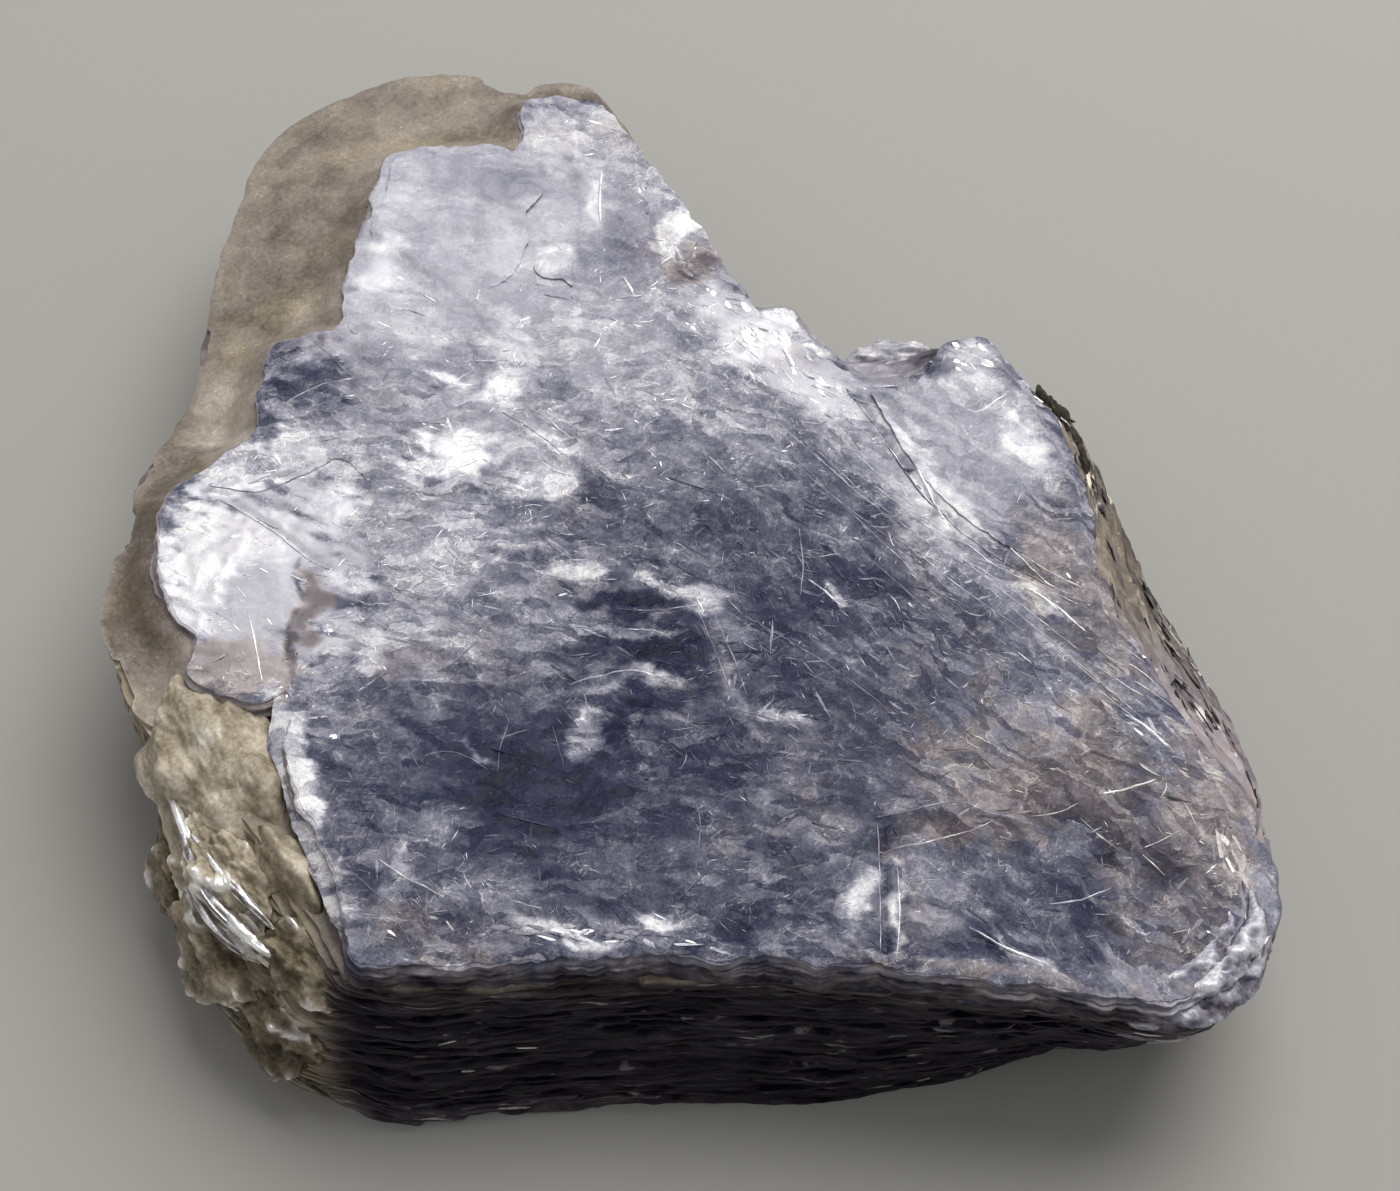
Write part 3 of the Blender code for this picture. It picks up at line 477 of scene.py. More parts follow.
# How far sheets' edges stray from the wall on each stretch of the outline: most on the lumpy flank.
RUGGED = [0.8, 1.3, 1.5, 1.2, 0.9, 1.0, 1.0, 1.6]


def stacked_levels(top, generator):
    """Heights of the sheets' faces from 0 to top, unequally spaced."""
    levels = [0.0]
    while levels[-1] < top - LAMINA[1]:
        levels.append(levels[-1] + generator.uniform(*LAMINA))
    return levels + [top]


def coarse_sheet(height):
    """Which of the part's thick sheets a height belongs to."""
    for sheet in range(1, SHEET_COUNT):
        shift = 0.9 * noise.noise(Vector((sheet * 3.7, 1.9, 6.3)))
        if height < BOOK_TOP * (sheet + shift) / SHEET_COUNT:
            return sheet - 1
    return SHEET_COUNT - 1


class Wall:
    """The book's wall: where it is at a place along the outline and a height."""

    def __init__(self):
        points = [point for stretch in OUTLINE for point in stretch[2]]
        self.foot = np.array([foot for foot, _ in points])
        self.top = np.array([top for _, top in points])
        self.climb = np.array([[stretch[0]] for stretch in OUTLINE for _ in stretch[2]])
        self.bulge = np.array([[stretch[1]] for stretch in OUTLINE for _ in stretch[2]])
        self.places = even_places(self.top, WALL_STEP)
        self.starts = np.cumsum([0] + [len(stretch[2]) for stretch in OUTLINE])

    def between(self, values, places):
        n = len(values)
        return np.interp(places % n, np.arange(n + 1), np.append(values[:, 0], values[0, 0]))

    def loop(self, height, places):
        share = height / BOOK_TOP
        lean = share ** self.between(self.climb, places)
        foot, top = curve_at(self.foot, places), curve_at(self.top, places)
        swell = self.between(self.bulge, places) * math.sin(math.pi * share)
        return foot + (top - foot) * lean[:, None] + outward(top) * swell[:, None]

    def ruggedness(self, places):
        """How far sheets' edges stray from the wall at each place."""
        middles = (self.starts[:-1] + self.starts[1:]) / 2
        n = self.starts[-1]
        x = np.concatenate([middles - n, middles, middles + n])
        return np.interp(places, x, np.tile(RUGGED, 3))


def edge_offset(loop, sheet, lamina, rugged):
    """How far the edge of one thin sheet stands out from the wall: with its thick sheet, and on its own."""
    x, y = loop.T
    thick = 0.3 * noise.noise(Vector((sheet * 1.7, 0.4, 0.2))) + 0.32 * waves(x, y, 5, sheet * 2.3)
    torn = 0.22 * waves(x, y, 2.6, lamina * 5.3) + 0.10 * waves(x, y, 0.9, lamina * 3.1)
    broken = smoothstep(0.18, 0.30, waves(x, y, 4.2, lamina * 7.7 + 2))
    return thick + rugged * (torn - 0.35 * broken)


def add_book(wall, materials):
    """The stacked sheets, from the flat underside to the brown fringe that the upper plate leaves bare."""
    generator = np.random.default_rng(SEED)
    rugged = wall.ruggedness(wall.places)
    levels = stacked_levels(BOOK_TOP, generator)
    rings = []
    for lamina, (low, high) in enumerate(zip(levels, levels[1:])):
        middle = (low + high) / 2
        base = wall.loop(middle, wall.places)
        edge = base + outward(base) * edge_offset(base, coarse_sheet(middle), lamina, rugged)[:, None]
        sway = 0.5 * waves(base[:, 0], base[:, 1], 8, 70 + middle / 5) * math.sin(math.pi * middle / BOOK_TOP)
        for height in (low + LAMINA_GAP if lamina else 0.0, high - LAMINA_GAP):
            rings.append(np.column_stack([edge, height + sway * (height > 0)]))
    top = rings[-1][:, :2]
    bare = filling(top, FRINGE_STEP)
    shown = ~within(PLATE_SHADOW, bare)
    coarse = filling(top, HIDDEN_STEP)
    tops = np.concatenate([bare[shown], coarse[within(PLATE_SHADOW, coarse)]])

    def top_height(x, y):
        return BOOK_TOP - LAMINA_GAP + 0.12 * rough(x, y, 4, 61.0, 4) + shoulder(x, y)

    floors = filling(rings[0][:, :2], UNDERSIDE_STEP)
    points, faces = lofted(rings, tops, floors, top_height, lambda x, y: 0 * x)
    wall_points = len(rings) * len(wall.places)
    paint = book_paint(points, wall_points)
    book = make_piece("book", bent(points), faces, materials["edge"], paint, 30)
    book.data.materials.append(materials["fringe"])
    book.data.materials.append(materials["face"])
    middles = points[faces].mean(1)
    on_top = (faces >= wall_points).any(1) & (middles[:, 2] > BOOK_TOP - 1)
    which = np.where(on_top, np.where(like_face(*middles[:, :2].T), 2, 1), 0)
    book.data.polygons.foreach_set("material_index", which.astype(np.int32))
    return book


def like_face(x, y):
    """Where the book's bare top looks like the plate: beyond its right and its bright back edge."""
    return (x > 1.5) & (y < 24)


def shoulder(x, y):
    """How far the bare fringe rises to meet the plate."""
    away, _ = from_line(x, y, PLATE + PLATE[:1])
    outside = ~within(PLATE, np.column_stack([x, y]))
    near = 1 - smoothstep(0.2, 3.0, away) * outside
    left = smoothstep(-5, -12, x) * smoothstep(-16, -11, y)
    right = smoothstep(12, 18, x) * smoothstep(-34, -30, y)
    return near * (1.5 * left + 1.1 * right)


def within(loop, points):
    """Which points lie inside a loop."""
    loop = np.asarray(loop, float)
    inside = np.zeros(len(points), bool)
    for (x0, y0), (x1, y1) in zip(np.roll(loop, 1, 0), loop):
        if y0 == y1:
            continue
        crosses = ((y0 > points[:, 1]) != (y1 > points[:, 1]))
        inside ^= crosses & (points[:, 0] < (x1 - x0) * (points[:, 1] - y0) / (y1 - y0) + x0)
    return inside


PLATE_SHADOW = np.array(PLATE) * 0.975  # the book's top is hidden inside this


# Tones of the wall: everywhere, in the buff crust, in the notch, in its hollow, which is painted dark as shade,
# and on the crumpled corner.
WALL_TONE, BUFF_TONE, NOTCH_TONE, HOLLOW_SHADE_TONE, CORNER_TONE = 0.34, 0.58, 0.62, 0.16, 0.5
HOLLOW_SHADE = ((16.4, 13.8), 1.4)  # the middle and the width of the hollow in the notch, painted dark: brown, with painted shade under the folded sheet's tip
CORNER = ((30.5, -33.0), 3.2)


def book_paint(points, wall_points):
    """Dark brown sheet edges: mauve under the front rim, buff at the left front, silvery at the right."""
    x, y, z = points.T
    paint = fringe_paint(x, y)
    on_wall = np.arange(len(points)) < wall_points
    front = smoothstep(-24, -34, y)
    right = smoothstep(18, 26, x) * smoothstep(-34, -29, y)
    left_front = smoothstep(-19, -23, x) * smoothstep(-2, -12, y)
    notch = smoothstep(7, 9, x) * smoothstep(20, 17, x) * smoothstep(6, 9, y)
    upper = smoothstep(4, 12, z)
    rim = front * smoothstep(10.2, 12.6, z)
    # The front wall's tone is lowered: painted shade on the side that faces away from the window.
    tone = WALL_TONE - 0.26 * front + (0.04 + 0.1 * upper) * right + 0.14 * rim
    # The upper sheets away from the front and right are painted lighter: painted light, as where it shines
    # through the thin fringe.
    tone += 0.16 * upper * (1 - front) * (1 - right)
    flank = right * smoothstep(-14, -2, y)
    tone -= 0.12 * flank
    tone += 0.2 * front * smoothstep(2.2, 0.9, z) * smoothstep(3, -6, x)  # the pale foot at the left
    # Painted shade: the hollow under the folded sheet's tip is painted dark.
    hollow_shade = hill(x, y, *HOLLOW_SHADE) * smoothstep(7, 10, z)
    corner = hill(x, y, *CORNER) * upper
    places = (left_front, notch, hollow_shade, corner)
    for share, own in zip(places, (BUFF_TONE, NOTCH_TONE, HOLLOW_SHADE_TONE, CORNER_TONE)):
        tone += share * (own - tone)
    paint["tone"] = np.where(on_wall, tone, paint["tone"])
    brown = smoothstep(-24, -28, x) + flank
    warm = 0.85 + 0.15 * brown + 0.15 * rim + 0.15 * left_front - 0.5 * notch * (1 - hollow_shade)
    paint["warm"] = np.where(on_wall, warm, paint["warm"])
    paint["buff"] = np.where(on_wall, left_front + 0.7 * flank, 0.0)
    paint["silver"] = np.where(on_wall, 0.1 + 0.4 * right + 0.5 * corner, paint["silver"])
    face = face_paint(x, y)
    pale = ~on_wall & like_face(x, y)
    keys = [*paint, "slant"]
    return {key: np.where(pale, face.get(key, 0.0), paint.get(key, 0.0)) for key in keys}


# --- The upper plate ---

PLATE_STEP = 0.22  # distance between the points of the upper face, and along the edge of a torn sheet
PLATE_LAMINA = (0.14, 0.32)  # the thinnest and the thickest sheet in the plate's side
MOST_LAMINAE = 12
PLATE_SINK = 0.2  # how far the plate's sheets go down into the book
PLATE_FLOOR_STEP = 3.0  # distance between the points of the plate's hidden floor
TERRACE = 0.11  # thickness of the flakes that lie on it
TERRACES = 2.6  # how often one flake gives way to the next
TERRACE_SIZE = 11
TERRACE_EDGE = 0.08  # the share of a step over which one flake falls to the next
TERRACE_DRIFT = (1.2, 4.5)  # how far the flakes' edges wander, and how large the bends are
UNEVENNESS = (0.10, 3.0)  # how high and how wide the face's gentle swells are
WRINKLE = (0.05, 1.6)  # how high its wrinkles are, and how far apart
WRINKLE_START = 0.72  # how near a crest a place must be to rise with a wrinkle

# Lines in the upper face: the line, half width, and how far it stands up, or is cut in where negative.
CREASES = [
    ([(10.4, 8.3), (12.2, 5), (14.3, 1), (16.6, -2.3), (19.6, -5), (24, -7.6)], 0.28, -0.34),
    ([(11, 6.2), (13.4, 2.2), (16, -2.3), (18.6, -5.2)], 0.35, 0.2),
    ([(11.2, -24.2), (11.2, -28), (11.1, -33.4)], 0.24, -0.4),
    ([(12.2, -27), (12, -30), (11.8, -32.6)], 0.24, -0.25),
    ([(19.9, -6.6), (21.4, -8.4), (22.6, -10)], 0.25, -0.25),
    ([(17.3, 5.3), (16.9, 2.4), (16.8, -1.9)], 0.25, -0.12),
    ([(16.7, 8.2), (18.4, 6.9), (20.8, 8.9)], 0.25, -0.15),
    ([(-29.8, 0.5), (-28.3, -0.9), (-26.5, -2.2), (-24.9, -3.5), (-23.7, -4.7), (-22.3, -5.5)], 0.25, -0.2),
    ([(-31, 0.3), (-28.4, 0.3), (-27.2, 0.8), (-24.7, 2.3), (-22.8, 3.3)], 0.25, -0.2),
    ([(-22.8, 3.3), (-21.4, 2.4), (-20.7, 1.5), (-19, 2.6)], 0.22, -0.15),
    ([(-1.8, 5), (-0.6, 5.9), (1, 6.3)], 0.22, -0.15), ([(-12, 6.4), (-9.8, 4.6), (-8, 2.8)], 0.25, 0.2),
    ([(16, -31), (17.8, -32.3), (20.2, -33.4)], 0.25, 0.25),
]
RIM_LIP = ([(-18, -32.5), (-8, -32.3), (-2.5, -32.1), (4, -32.3), (10, -32.8), (20.8, -34.2), (27, -34.6)],
           0.5, 0.28)
CREASE_ENDS = 0.12  # the share of a crease over which it fades in, and out again


def face_height(x, y):
    """Height of the upper face, before it is bent with the book."""
    drift, bend = TERRACE_DRIFT
    drift_x, drift_y = (drift * waves(x, y, bend, layer) for layer in (31.0, 32.0))
    level = waves(x + drift_x, y + drift_y, TERRACE_SIZE, 33.0) + 0.12 * waves(x, y, 2.4, 34.0)
    level = TERRACES * level
    whole = np.floor(level)
    height = PLATE_TOP + TERRACE * (whole + smoothstep(0.0, TERRACE_EDGE, level - whole))
    swell, width = UNEVENNESS
    height += swell * rough(x, y, width, 35.0, 2)
    rise, apart = WRINKLE
    crests = 1 - np.abs(waves(x + 0.5 * drift_x, y + 0.5 * drift_y, apart, 36.0)) * 2
    height += rise * smoothstep(WRINKLE_START, 1.0, crests)
    for line, half, rise in [*CREASES, RIM_LIP]:
        away, where = from_line(x, y, line)
        ends = smoothstep(0, CREASE_ENDS, where) * smoothstep(1, 1 - CREASE_ENDS, where)
        height += rise * (0.35 + 0.65 * ends) * np.exp(-(away / half) ** 2)
    return height


BOOK_RIM = [top for stretch in OUTLINE for _, top in stretch[2]]
FLANK_FALL = 1.3  # how steeply the flanks fall just outside the rim


def ground_height(x, y):
    """Height of the upper face, or of the ledge and the flank beyond the plate's edge."""
    spots = np.column_stack([x, y])
    away, _ = from_line(x, y, BOOK_RIM + BOOK_RIM[:1])
    beyond = away * ~within(BOOK_RIM, spots)
    ledge = BOOK_TOP + shoulder(x, y) - FLANK_FALL * beyond
    return np.where(within(PLATE, spots), face_height(x, y), ledge)


def torn_loop(knots, amount, layer):
    """A closed outline with a torn edge."""
    knots = np.array(knots, float)
    loop = curve_at(knots, even_places(knots, PLATE_STEP))
    x, y = loop.T
    wander = waves(x, y, 3.0, layer) + 0.5 * waves(x, y, 1.1, layer + 1)
    wander = wander + 0.25 * waves(x, y, 0.5, layer + 2)
    return loop + outward(loop) * (amount * wander)[:, None]


def add_plate(materials):
    """The upper plate, with laminated sides, flakes, folds and cracks, sunk a little into the book."""
    generator = np.random.default_rng(SEED + 1)
    loop = torn_loop(PLATE, 0.4, 51.0)
    out = outward(loop)
    x, y = loop.T
    depths = np.cumsum(generator.uniform(*PLATE_LAMINA, MOST_LAMINAE))
    depths = depths[depths < PLATE_TOP - BOOK_TOP + PLATE_SINK]
    top = face_height(x, y)
    rings = [np.column_stack([loop, top]), np.column_stack([loop + out * 0.02, top - 0.06])]
    for lamina, (high, low) in enumerate(zip(depths - depths[0] + 0.08, depths + 0.04)):
        outset = 0.10 + 0.12 * lamina ** 0.5 + 0.40 * waves(x, y, 3.4, 80 + lamina * 5.3)
        outset += 0.16 * waves(x, y, 1.3, 80 + lamina * 3.3) + 0.08 * waves(x, y, 0.5, 80 + lamina * 1.9)
        edge = loop + out * outset[:, None]
        rings.append(np.column_stack([edge, top - high]))
        rings.append(np.column_stack([edge, top - low]))
    rings.reverse()

    def floor_height(x, y):
        return PLATE_TOP - depths[-1] - 0.3 + 0 * x

    floors = filling(rings[0][:, :2], PLATE_FLOOR_STEP)
    points, faces = lofted(rings, filling(loop, PLATE_STEP), floors, face_height, floor_height)
    paint = face_paint(points[:, 0], points[:, 1])
    on_side = np.arange(len(points)) < (len(rings) - 2) * len(loop)
    front = on_side & (points[:, 1] < -28)
    left = on_side & (points[:, 0] < -19) & ~front
    lip = smoothstep(PLATE_TOP - 1.5, PLATE_TOP - 0.2, points[:, 2])
    corner = smoothstep(24, 29, points[:, 0])
    mottle = 0.22 * rough(points[:, 0], 2.5 * points[:, 2], 1.6, 87.0)
    rim_tone = 0.26 + 0.2 * lip + 0.3 * corner + mottle
    paint["tone"] = np.where(front, rim_tone, np.where(left, 0.6, paint["tone"]))
    paint["warm"] = np.where(front, 1.0 - 0.45 * lip - 0.4 * corner, np.where(left, 1.0, paint["warm"]))
    paint["wisp"] = np.where(front | left, 0.2, paint["wisp"])
    return make_piece("plate", bent(points), faces, materials["face"], paint)


# --- Torn sheets and lumps ---

SHEET_THICKNESS = 0.09
SHEET_SINK = 0.1  # how far a torn sheet's held side lies under the plate's face
SHEET_STEPS = (0.26, 0.6)  # distance between the points of its upper and its lower side
TORN_SHEET = [(-20.2, 29.4), (-21, 25), (-21.6, 21), (-22.4, 17), (-19.5, 14.6), (-15, 15.6), (-12.4, 18.2),
    (-10.9, 21.6), (-11.3, 24.3), (-10.3, 26), (-10.6, 27.9), (-13.4, 29.2), (-17, 29.8)]
LEAF_FLAKE = [(-7.9, 17.6), (-8.6, 18.5), (-9.9, 18.6), (-10.7, 19.6), (-10.4, 20.8), (-9.6, 21.4),
    (-9.2, 22.2), (-8.7, 22), (-8.3, 20.9), (-8.1, 19.3)]
FOLDED_SHEET = [(11.4, 8.2), (12.8, 5.2), (14.8, 1.2), (17.2, -2), (20, -4.2), (23.4, -6), (23.8, -1),
    (22.6, 3.4), (20.8, 8.2), (19.4, 11.4), (17.8, 12.2), (16.6, 11.2), (15.6, 9.3), (13.4, 8.4)]
EDGE_FLAKE = [(-2.4, 21.2), (-0.4, 19.8), (0.4, 21.4), (-0.9, 24.2), (-2, 25.8), (-3, 25), (-2.7, 23.2)]
SIDE_SHEET = [(-25.3, -14), (-24, -14.4), (-23.4, -18.4), (-21.8, -23), (-20.4, -27.2), (-19.7, -31.6),
    (-20.9, -29.6), (-22.6, -26), (-24.2, -21.8), (-25.4, -17.6)]
# Each sheet: outline, how high its free edge stands, where it leaves the plate, and where it is free.
SHEETS = {
    "torn_sheet": (TORN_SHEET, 0.22, (-17.0, 15.5), (-15.0, 24.0)),
    "leaf_flake": (LEAF_FLAKE, 0.12, (-9.6, 22.0), (-9.2, 19.5)),
    "folded_sheet": (FOLDED_SHEET, 0.12, (21.5, 4.0), (16.0, 3.0)),
    "edge_flake": (EDGE_FLAKE, 0.15, (-3.4, 22.0), (-1.0, 23.2)),
    "side_sheet": (SIDE_SHEET, -1.0, (-22.3, -21.6), (-24.4, -22.4)),
}


def cornered(knots, cut=0.25):
    """Knots that keep a curve's sides straight and its corners crisp, in anticlockwise order."""
    knots = np.array(knots, float)
    after = np.roll(knots, -1, 0)
    if (knots[:, 0] * after[:, 1] - after[:, 0] * knots[:, 1]).sum() < 0:
        knots = knots[::-1]
        after = np.roll(knots, -1, 0)
    along = after - knots
    along *= cut / np.linalg.norm(along, axis=1)[:, None]
    return np.stack([knots + along, after - along], 1).reshape(-1, 2)


def add_sheet(name, materials):
    """A thin torn sheet that leaves the plate along one side and stands free of it along the other."""
    knots, rise, held, free = SHEETS[name]
    layer = 60 + 3.7 * list(SHEETS).index(name)
    loop = torn_loop(cornered(knots), 0.3, layer)
    along = np.subtract(free, held)

    def top_height(x, y):
        share = ((x - held[0]) * along[0] + (y - held[1]) * along[1]) / (along @ along)
        lift = (rise + 0.15) * smoothstep(0, 1, share) - SHEET_SINK + 0.12 * waves(x, y, 2.4, layer)
        return face_height(x, y) + lift

    def floor_height(x, y):
        return top_height(x, y) - SHEET_THICKNESS

    x, y = loop.T
    rings = [np.column_stack([loop, floor_height(x, y)]), np.column_stack([loop, top_height(x, y)])]
    tops, floors = (filling(loop, step) for step in SHEET_STEPS)
    points, faces = lofted(rings, tops, floors, top_height, floor_height)
    paint = face_paint(points[:, 0], points[:, 1])
    return make_piece(name, bent(points), faces, materials["face"], paint)


# Each lump: centre, radii, turn about Z in degrees, how rough, its tone, how warm, and how fine its mesh is.
LUMPS = {
    "buff_lump": ((-28.6, -17.4, 9.6), (6.2, 4.9, 4.9), -62, 0.24, 0.82, 1, 7),
    "buff_nose": ((-25.8, -20, 10), (4.2, 3.2, 4.3), -66, 0.24, 0.78, 1, 6),
    "brown_pod": ((-23.4, -25.9, 12.1), (3.6, 1.4, 1.8), -50, 0.1, 0.76, 1, 6),
    "glitter_mass": ((-27.2, -25, 9.6), (5.2, 2.5, 2.9), -54, 0.8, 0.78, 1, 7),
    "silver_crest": ((-26.6, -28, 10), (3.4, 1, 1.3), -48, 0.7, 1, 0.7, 6),
    "khaki_mass": ((-27.8, -27.2, 5.4), (5, 2.9, 3.9), -54, 0.8, 0.68, 1, 6),
    "khaki_foot": ((-24.6, -31.4, 4.2), (3.8, 2.5, 3.6), -45, 0.8, 0.52, 1, 6),
    "khaki_corner": ((-22.8, -30.6, 9.4), (3, 2.2, 2.9), -40, 0.6, 0.6, 1, 6),
    "khaki_side": ((-30.6, -22.2, 4.8), (3.8, 2.2, 3.9), -68, 0.8, 0.56, 1, 6),
    "notch_lump": ((13.4, 14.9, 8.9), (3, 1.6, 2.5), 0, 0.5, 0.88, 0.1, 6),
    "silver_lump": ((32, -29, 10), (3, 1.7, 2.4), 65, 0.5, 0.62, 0.3, 6),
    "dark_lump": ((24.4, 6.6, 9.2), (5.4, 1.3, 2.5), -77, 0.9, 0.24, 1, 6),
}
LOWEST = 0.05  # where the lumps' undersides are flattened, just above the table
LUMP_SWELL = (0.28, 1.7)  # how uneven a lump's form is, and how many swells it has
LUMP_PAINTED_SHADING = 0.2  # how much lighter a lump's crests are painted than its hollows: painted highlight on the crests, painted shade in the hollows
LUMP_STRETCH = 0.5  # a half makes a lump's crumples twice as long along its first radius


def add_lump(name, materials):
    """A rough lump grown on a flank."""
    centre, radii, turn, roughness, tone, warm, fineness = LUMPS[name]
    bm = bmesh.new()
    bmesh.ops.create_icosphere(bm, subdivisions=fineness, radius=1.0)
    ball = np.array([vert.co for vert in bm.verts])
    faces = [[vert.index for vert in face.verts] for face in bm.faces]
    bm.free()
    uneven, swells = LUMP_SWELL
    aside = Vector((centre[0], centre[1], 0))
    swell = np.array([uneven * noise.noise(Vector(p) * swells + aside) for p in ball])
    shape = ball * (1 + swell)[:, None] * radii
    drawn_out = shape * (LUMP_STRETCH, 1, 1)
    crumple = np.array([crusty(Vector(p) + Vector(centre)) for p in drawn_out])
    shape += ball * (roughness * crumple)[:, None]
    x, y = turned(shape[:, 0], shape[:, 1], turn)
    points = np.column_stack([x, y, shape[:, 2]]) + centre
    points[:, :2] -= OUTLINE_CENTRE
    points[:, 2] = np.maximum(points[:, 2], LOWEST)
    # Crests painted lighter and hollows darker: painted highlight and painted shade.
    paint = {"tone": tone + LUMP_PAINTED_SHADING * crumple, "warm": np.full(len(points), warm),
             "silver": smoothstep(0.35, 0.7, crumple) * smoothstep(0.3, 0.6, roughness)}
    return make_piece(name, points * MM, faces, materials["crust"], paint)


def crusty(place):
    """Noise with bumps about 2 mm across and finer, rougher ones on them."""
    return sum(share * noise.noise(place / size) for size, share in ((2.0, 1.0), (0.8, 0.6), (0.35, 0.4)))


def ridged(place):
    """Noise with sharp crests, about 2 mm apart, and finer ones on them."""
    level = 0.0
    for size, share in ((2.2, 0.55), (0.9, 0.3), (0.35, 0.15)):
        level += share * (1 - min(2 * abs(noise.noise(place / size)), 1))
    return level


# --- Slivers, shards, hairs and ridges ---

SPRAYS = 1700  # the most tufts of slivers
SPRAY = (1, 6)  # the fewest and one more than the most slivers in a tuft
SLIVER_TAPER = np.array([0.25, 0.8, 1.0, 0.85, 0.55, 0.12])  # how broad a sliver is at each of its points
SLIVER_POINTS = len(SLIVER_TAPER)
SLIVER_LENGTH = (0.2, 0.55, 3.0)  # the shortest, a usual and the longest sliver
SLIVER_WIDTH = (0.022, 0.026)  # a sliver's half width, and what the root of its length adds
TUFT_SPREAD = 0.3
TUFT_FAN = 10  # how far the slivers of a tuft fan out, in degrees, besides their stray
SLIVER_CURL = 0.35
SLIVER_WOBBLE = 0.08
SHARD_LENGTH = (0.2, 0.8, 3.2)
SHARD_WIDTH = (0.05, 0.10)
LENGTH_SPREAD = 0.6  # how unequal the lengths are, as the spread of their logarithms
SHARDS = 5000  # how many shards are tried
SHARD_THICKNESS = 0.012
SHARD_SINK = 0.06  # how far a shard's underside lies below the face
# A shard's outline before chance changes it: along it and across it, each as a share of the half size.
SHARD_ALONG = np.array([-1, -0.45, 0.35, 1, 0.35, -0.45])
SHARD_ACROSS = np.array([0, -1, -0.8, 0, 0.8, 1])
SHARD_SIDES = len(SHARD_ALONG)
FACE_BOX = ((-33, -34), (33, 36))  # the corners of a box around the upper face
# Where slivers lie on the face, as a share of how thickly they can.
SLIVER_SHARE = 0.4
SLIVER_SHARES = [
    (-15, 22, 9, 12, 0.06, 0, 0.4), (-5, 14, 6, 8, 0.35, 0, 0.4), (-6, -6, 12, 8, 0.7, 0, 0.4),
    (-11, -20, 6, 4, 0.18, 0, 0.4), (9, -8, 10, 9, 1, -35, 0.4), (3, -18, 7, 4, 0.9, 0, 0.4),
    (22, -14, 6, 8, 0.5, 0, 0.4), (17, 4, 6, 8, 0.12, 15, 0.3), (27, -13, 3, 8, 1, 25, 0.4),
    (0, -30, 28, 3, 0.6, 0, 0.4), (5, 11, 9, 3, 0.8, -48, 0.4),
]
# Which way they run, in degrees, and how far they stray from it.
SLIVER_TURN = -20
SLIVER_TURNS = [
    (-4, -8, 9, 5, -4, 0, 0.4), (10, -8, 11, 9, -38, 0, 0.4), (26, -12, 6, 12, -44, 0, 0.4),
    (-8, 4, 7, 5, -28, 0, 0.4), (6, 11, 8, 4, -58, 0, 0.4), (14, -28, 14, 5, 8, 0, 0.4),
    (-14, -28, 8, 5, -38, 0, 0.4),
]
SLIVER_STRAY = 55
SLIVER_STRAYS = [
    (-4, -8, 7, 4, 18, 0, 0.4), (10, -6, 8, 7, 22, 0, 0.4), (27, -12, 4, 10, 7, 0, 0.4),
    (6, 11, 8, 3, 25, -48, 0.4),
]


def ribs(spines, halves, heights, lift):
    """Closed slivers, three-sided and pointed, along many spines at once. Heights are those of the ground."""
    count, steps = spines.shape[:2]
    along = np.gradient(spines, axis=1)
    along /= np.linalg.norm(along, axis=2)[:, :, None] + 1e-9
    across = np.stack([-along[..., 1], along[..., 0]], 2) * halves[..., None]
    rows = [np.concatenate([spines + across, heights[..., None] - lift[..., None]], 2),
            np.concatenate([spines - across, heights[..., None] - lift[..., None]], 2),
            np.concatenate([spines, heights[..., None] + lift[..., None]], 2)]
    points = np.stack(rows, 2).reshape(-1, 3)
    faces = []
    for step in range(steps - 1):
        for corner in range(3):
            a, b = 3 * step + corner, 3 * step + (corner + 1) % 3
            faces += [(a, b, b + 3), (a, b + 3, a + 3)]
    faces += [(2, 1, 0), (3 * steps - 3, 3 * steps - 2, 3 * steps - 1)]
    faces = np.array(faces)[:, ::-1]
    starts = 3 * steps * np.arange(count)
    return points, (faces[None] + starts[:, None, None]).reshape(-1, 3)


def strewn(generator, tries, most, margin, clumps, layer, thin, thick):
    """Places in clumps on the upper face, with a direction for each and how far it strays, in degrees."""
    places = generator.uniform(*FACE_BOX, (tries, 2))
    places = places[within(np.array(PLATE) * margin, places)]
    wanted = patched(*places.T, SLIVER_SHARE, SLIVER_SHARES)
    wanted *= smoothstep(thin, thick, waves(*places.T, clumps, layer))
    places = places[generator.random(len(places)) < wanted][:most]
    stray = patched(*places.T, SLIVER_STRAY, SLIVER_STRAYS)
    turn = patched(*places.T, SLIVER_TURN, SLIVER_TURNS) + stray * generator.normal(0, 0.7, len(places))
    return places, turn, stray


def lengths_of(generator, limits, count):
    """Chance lengths, most of them near the middle one of the limits."""
    shortest, usual, longest = limits
    return np.exp(generator.normal(math.log(usual), LENGTH_SPREAD, count)).clip(shortest, longest)


def add_glints(name, points, faces, tone, warm, materials, sharp=0, dull=0.6):
    """A piece made of many small things that are silvery where their tone is lighter than dull."""
    paint = {"tone": tone, "warm": warm, "silver": smoothstep(dull, 0.9, tone)}
    return make_piece(name, bent(points), faces, materials["glint"], paint, sharp)


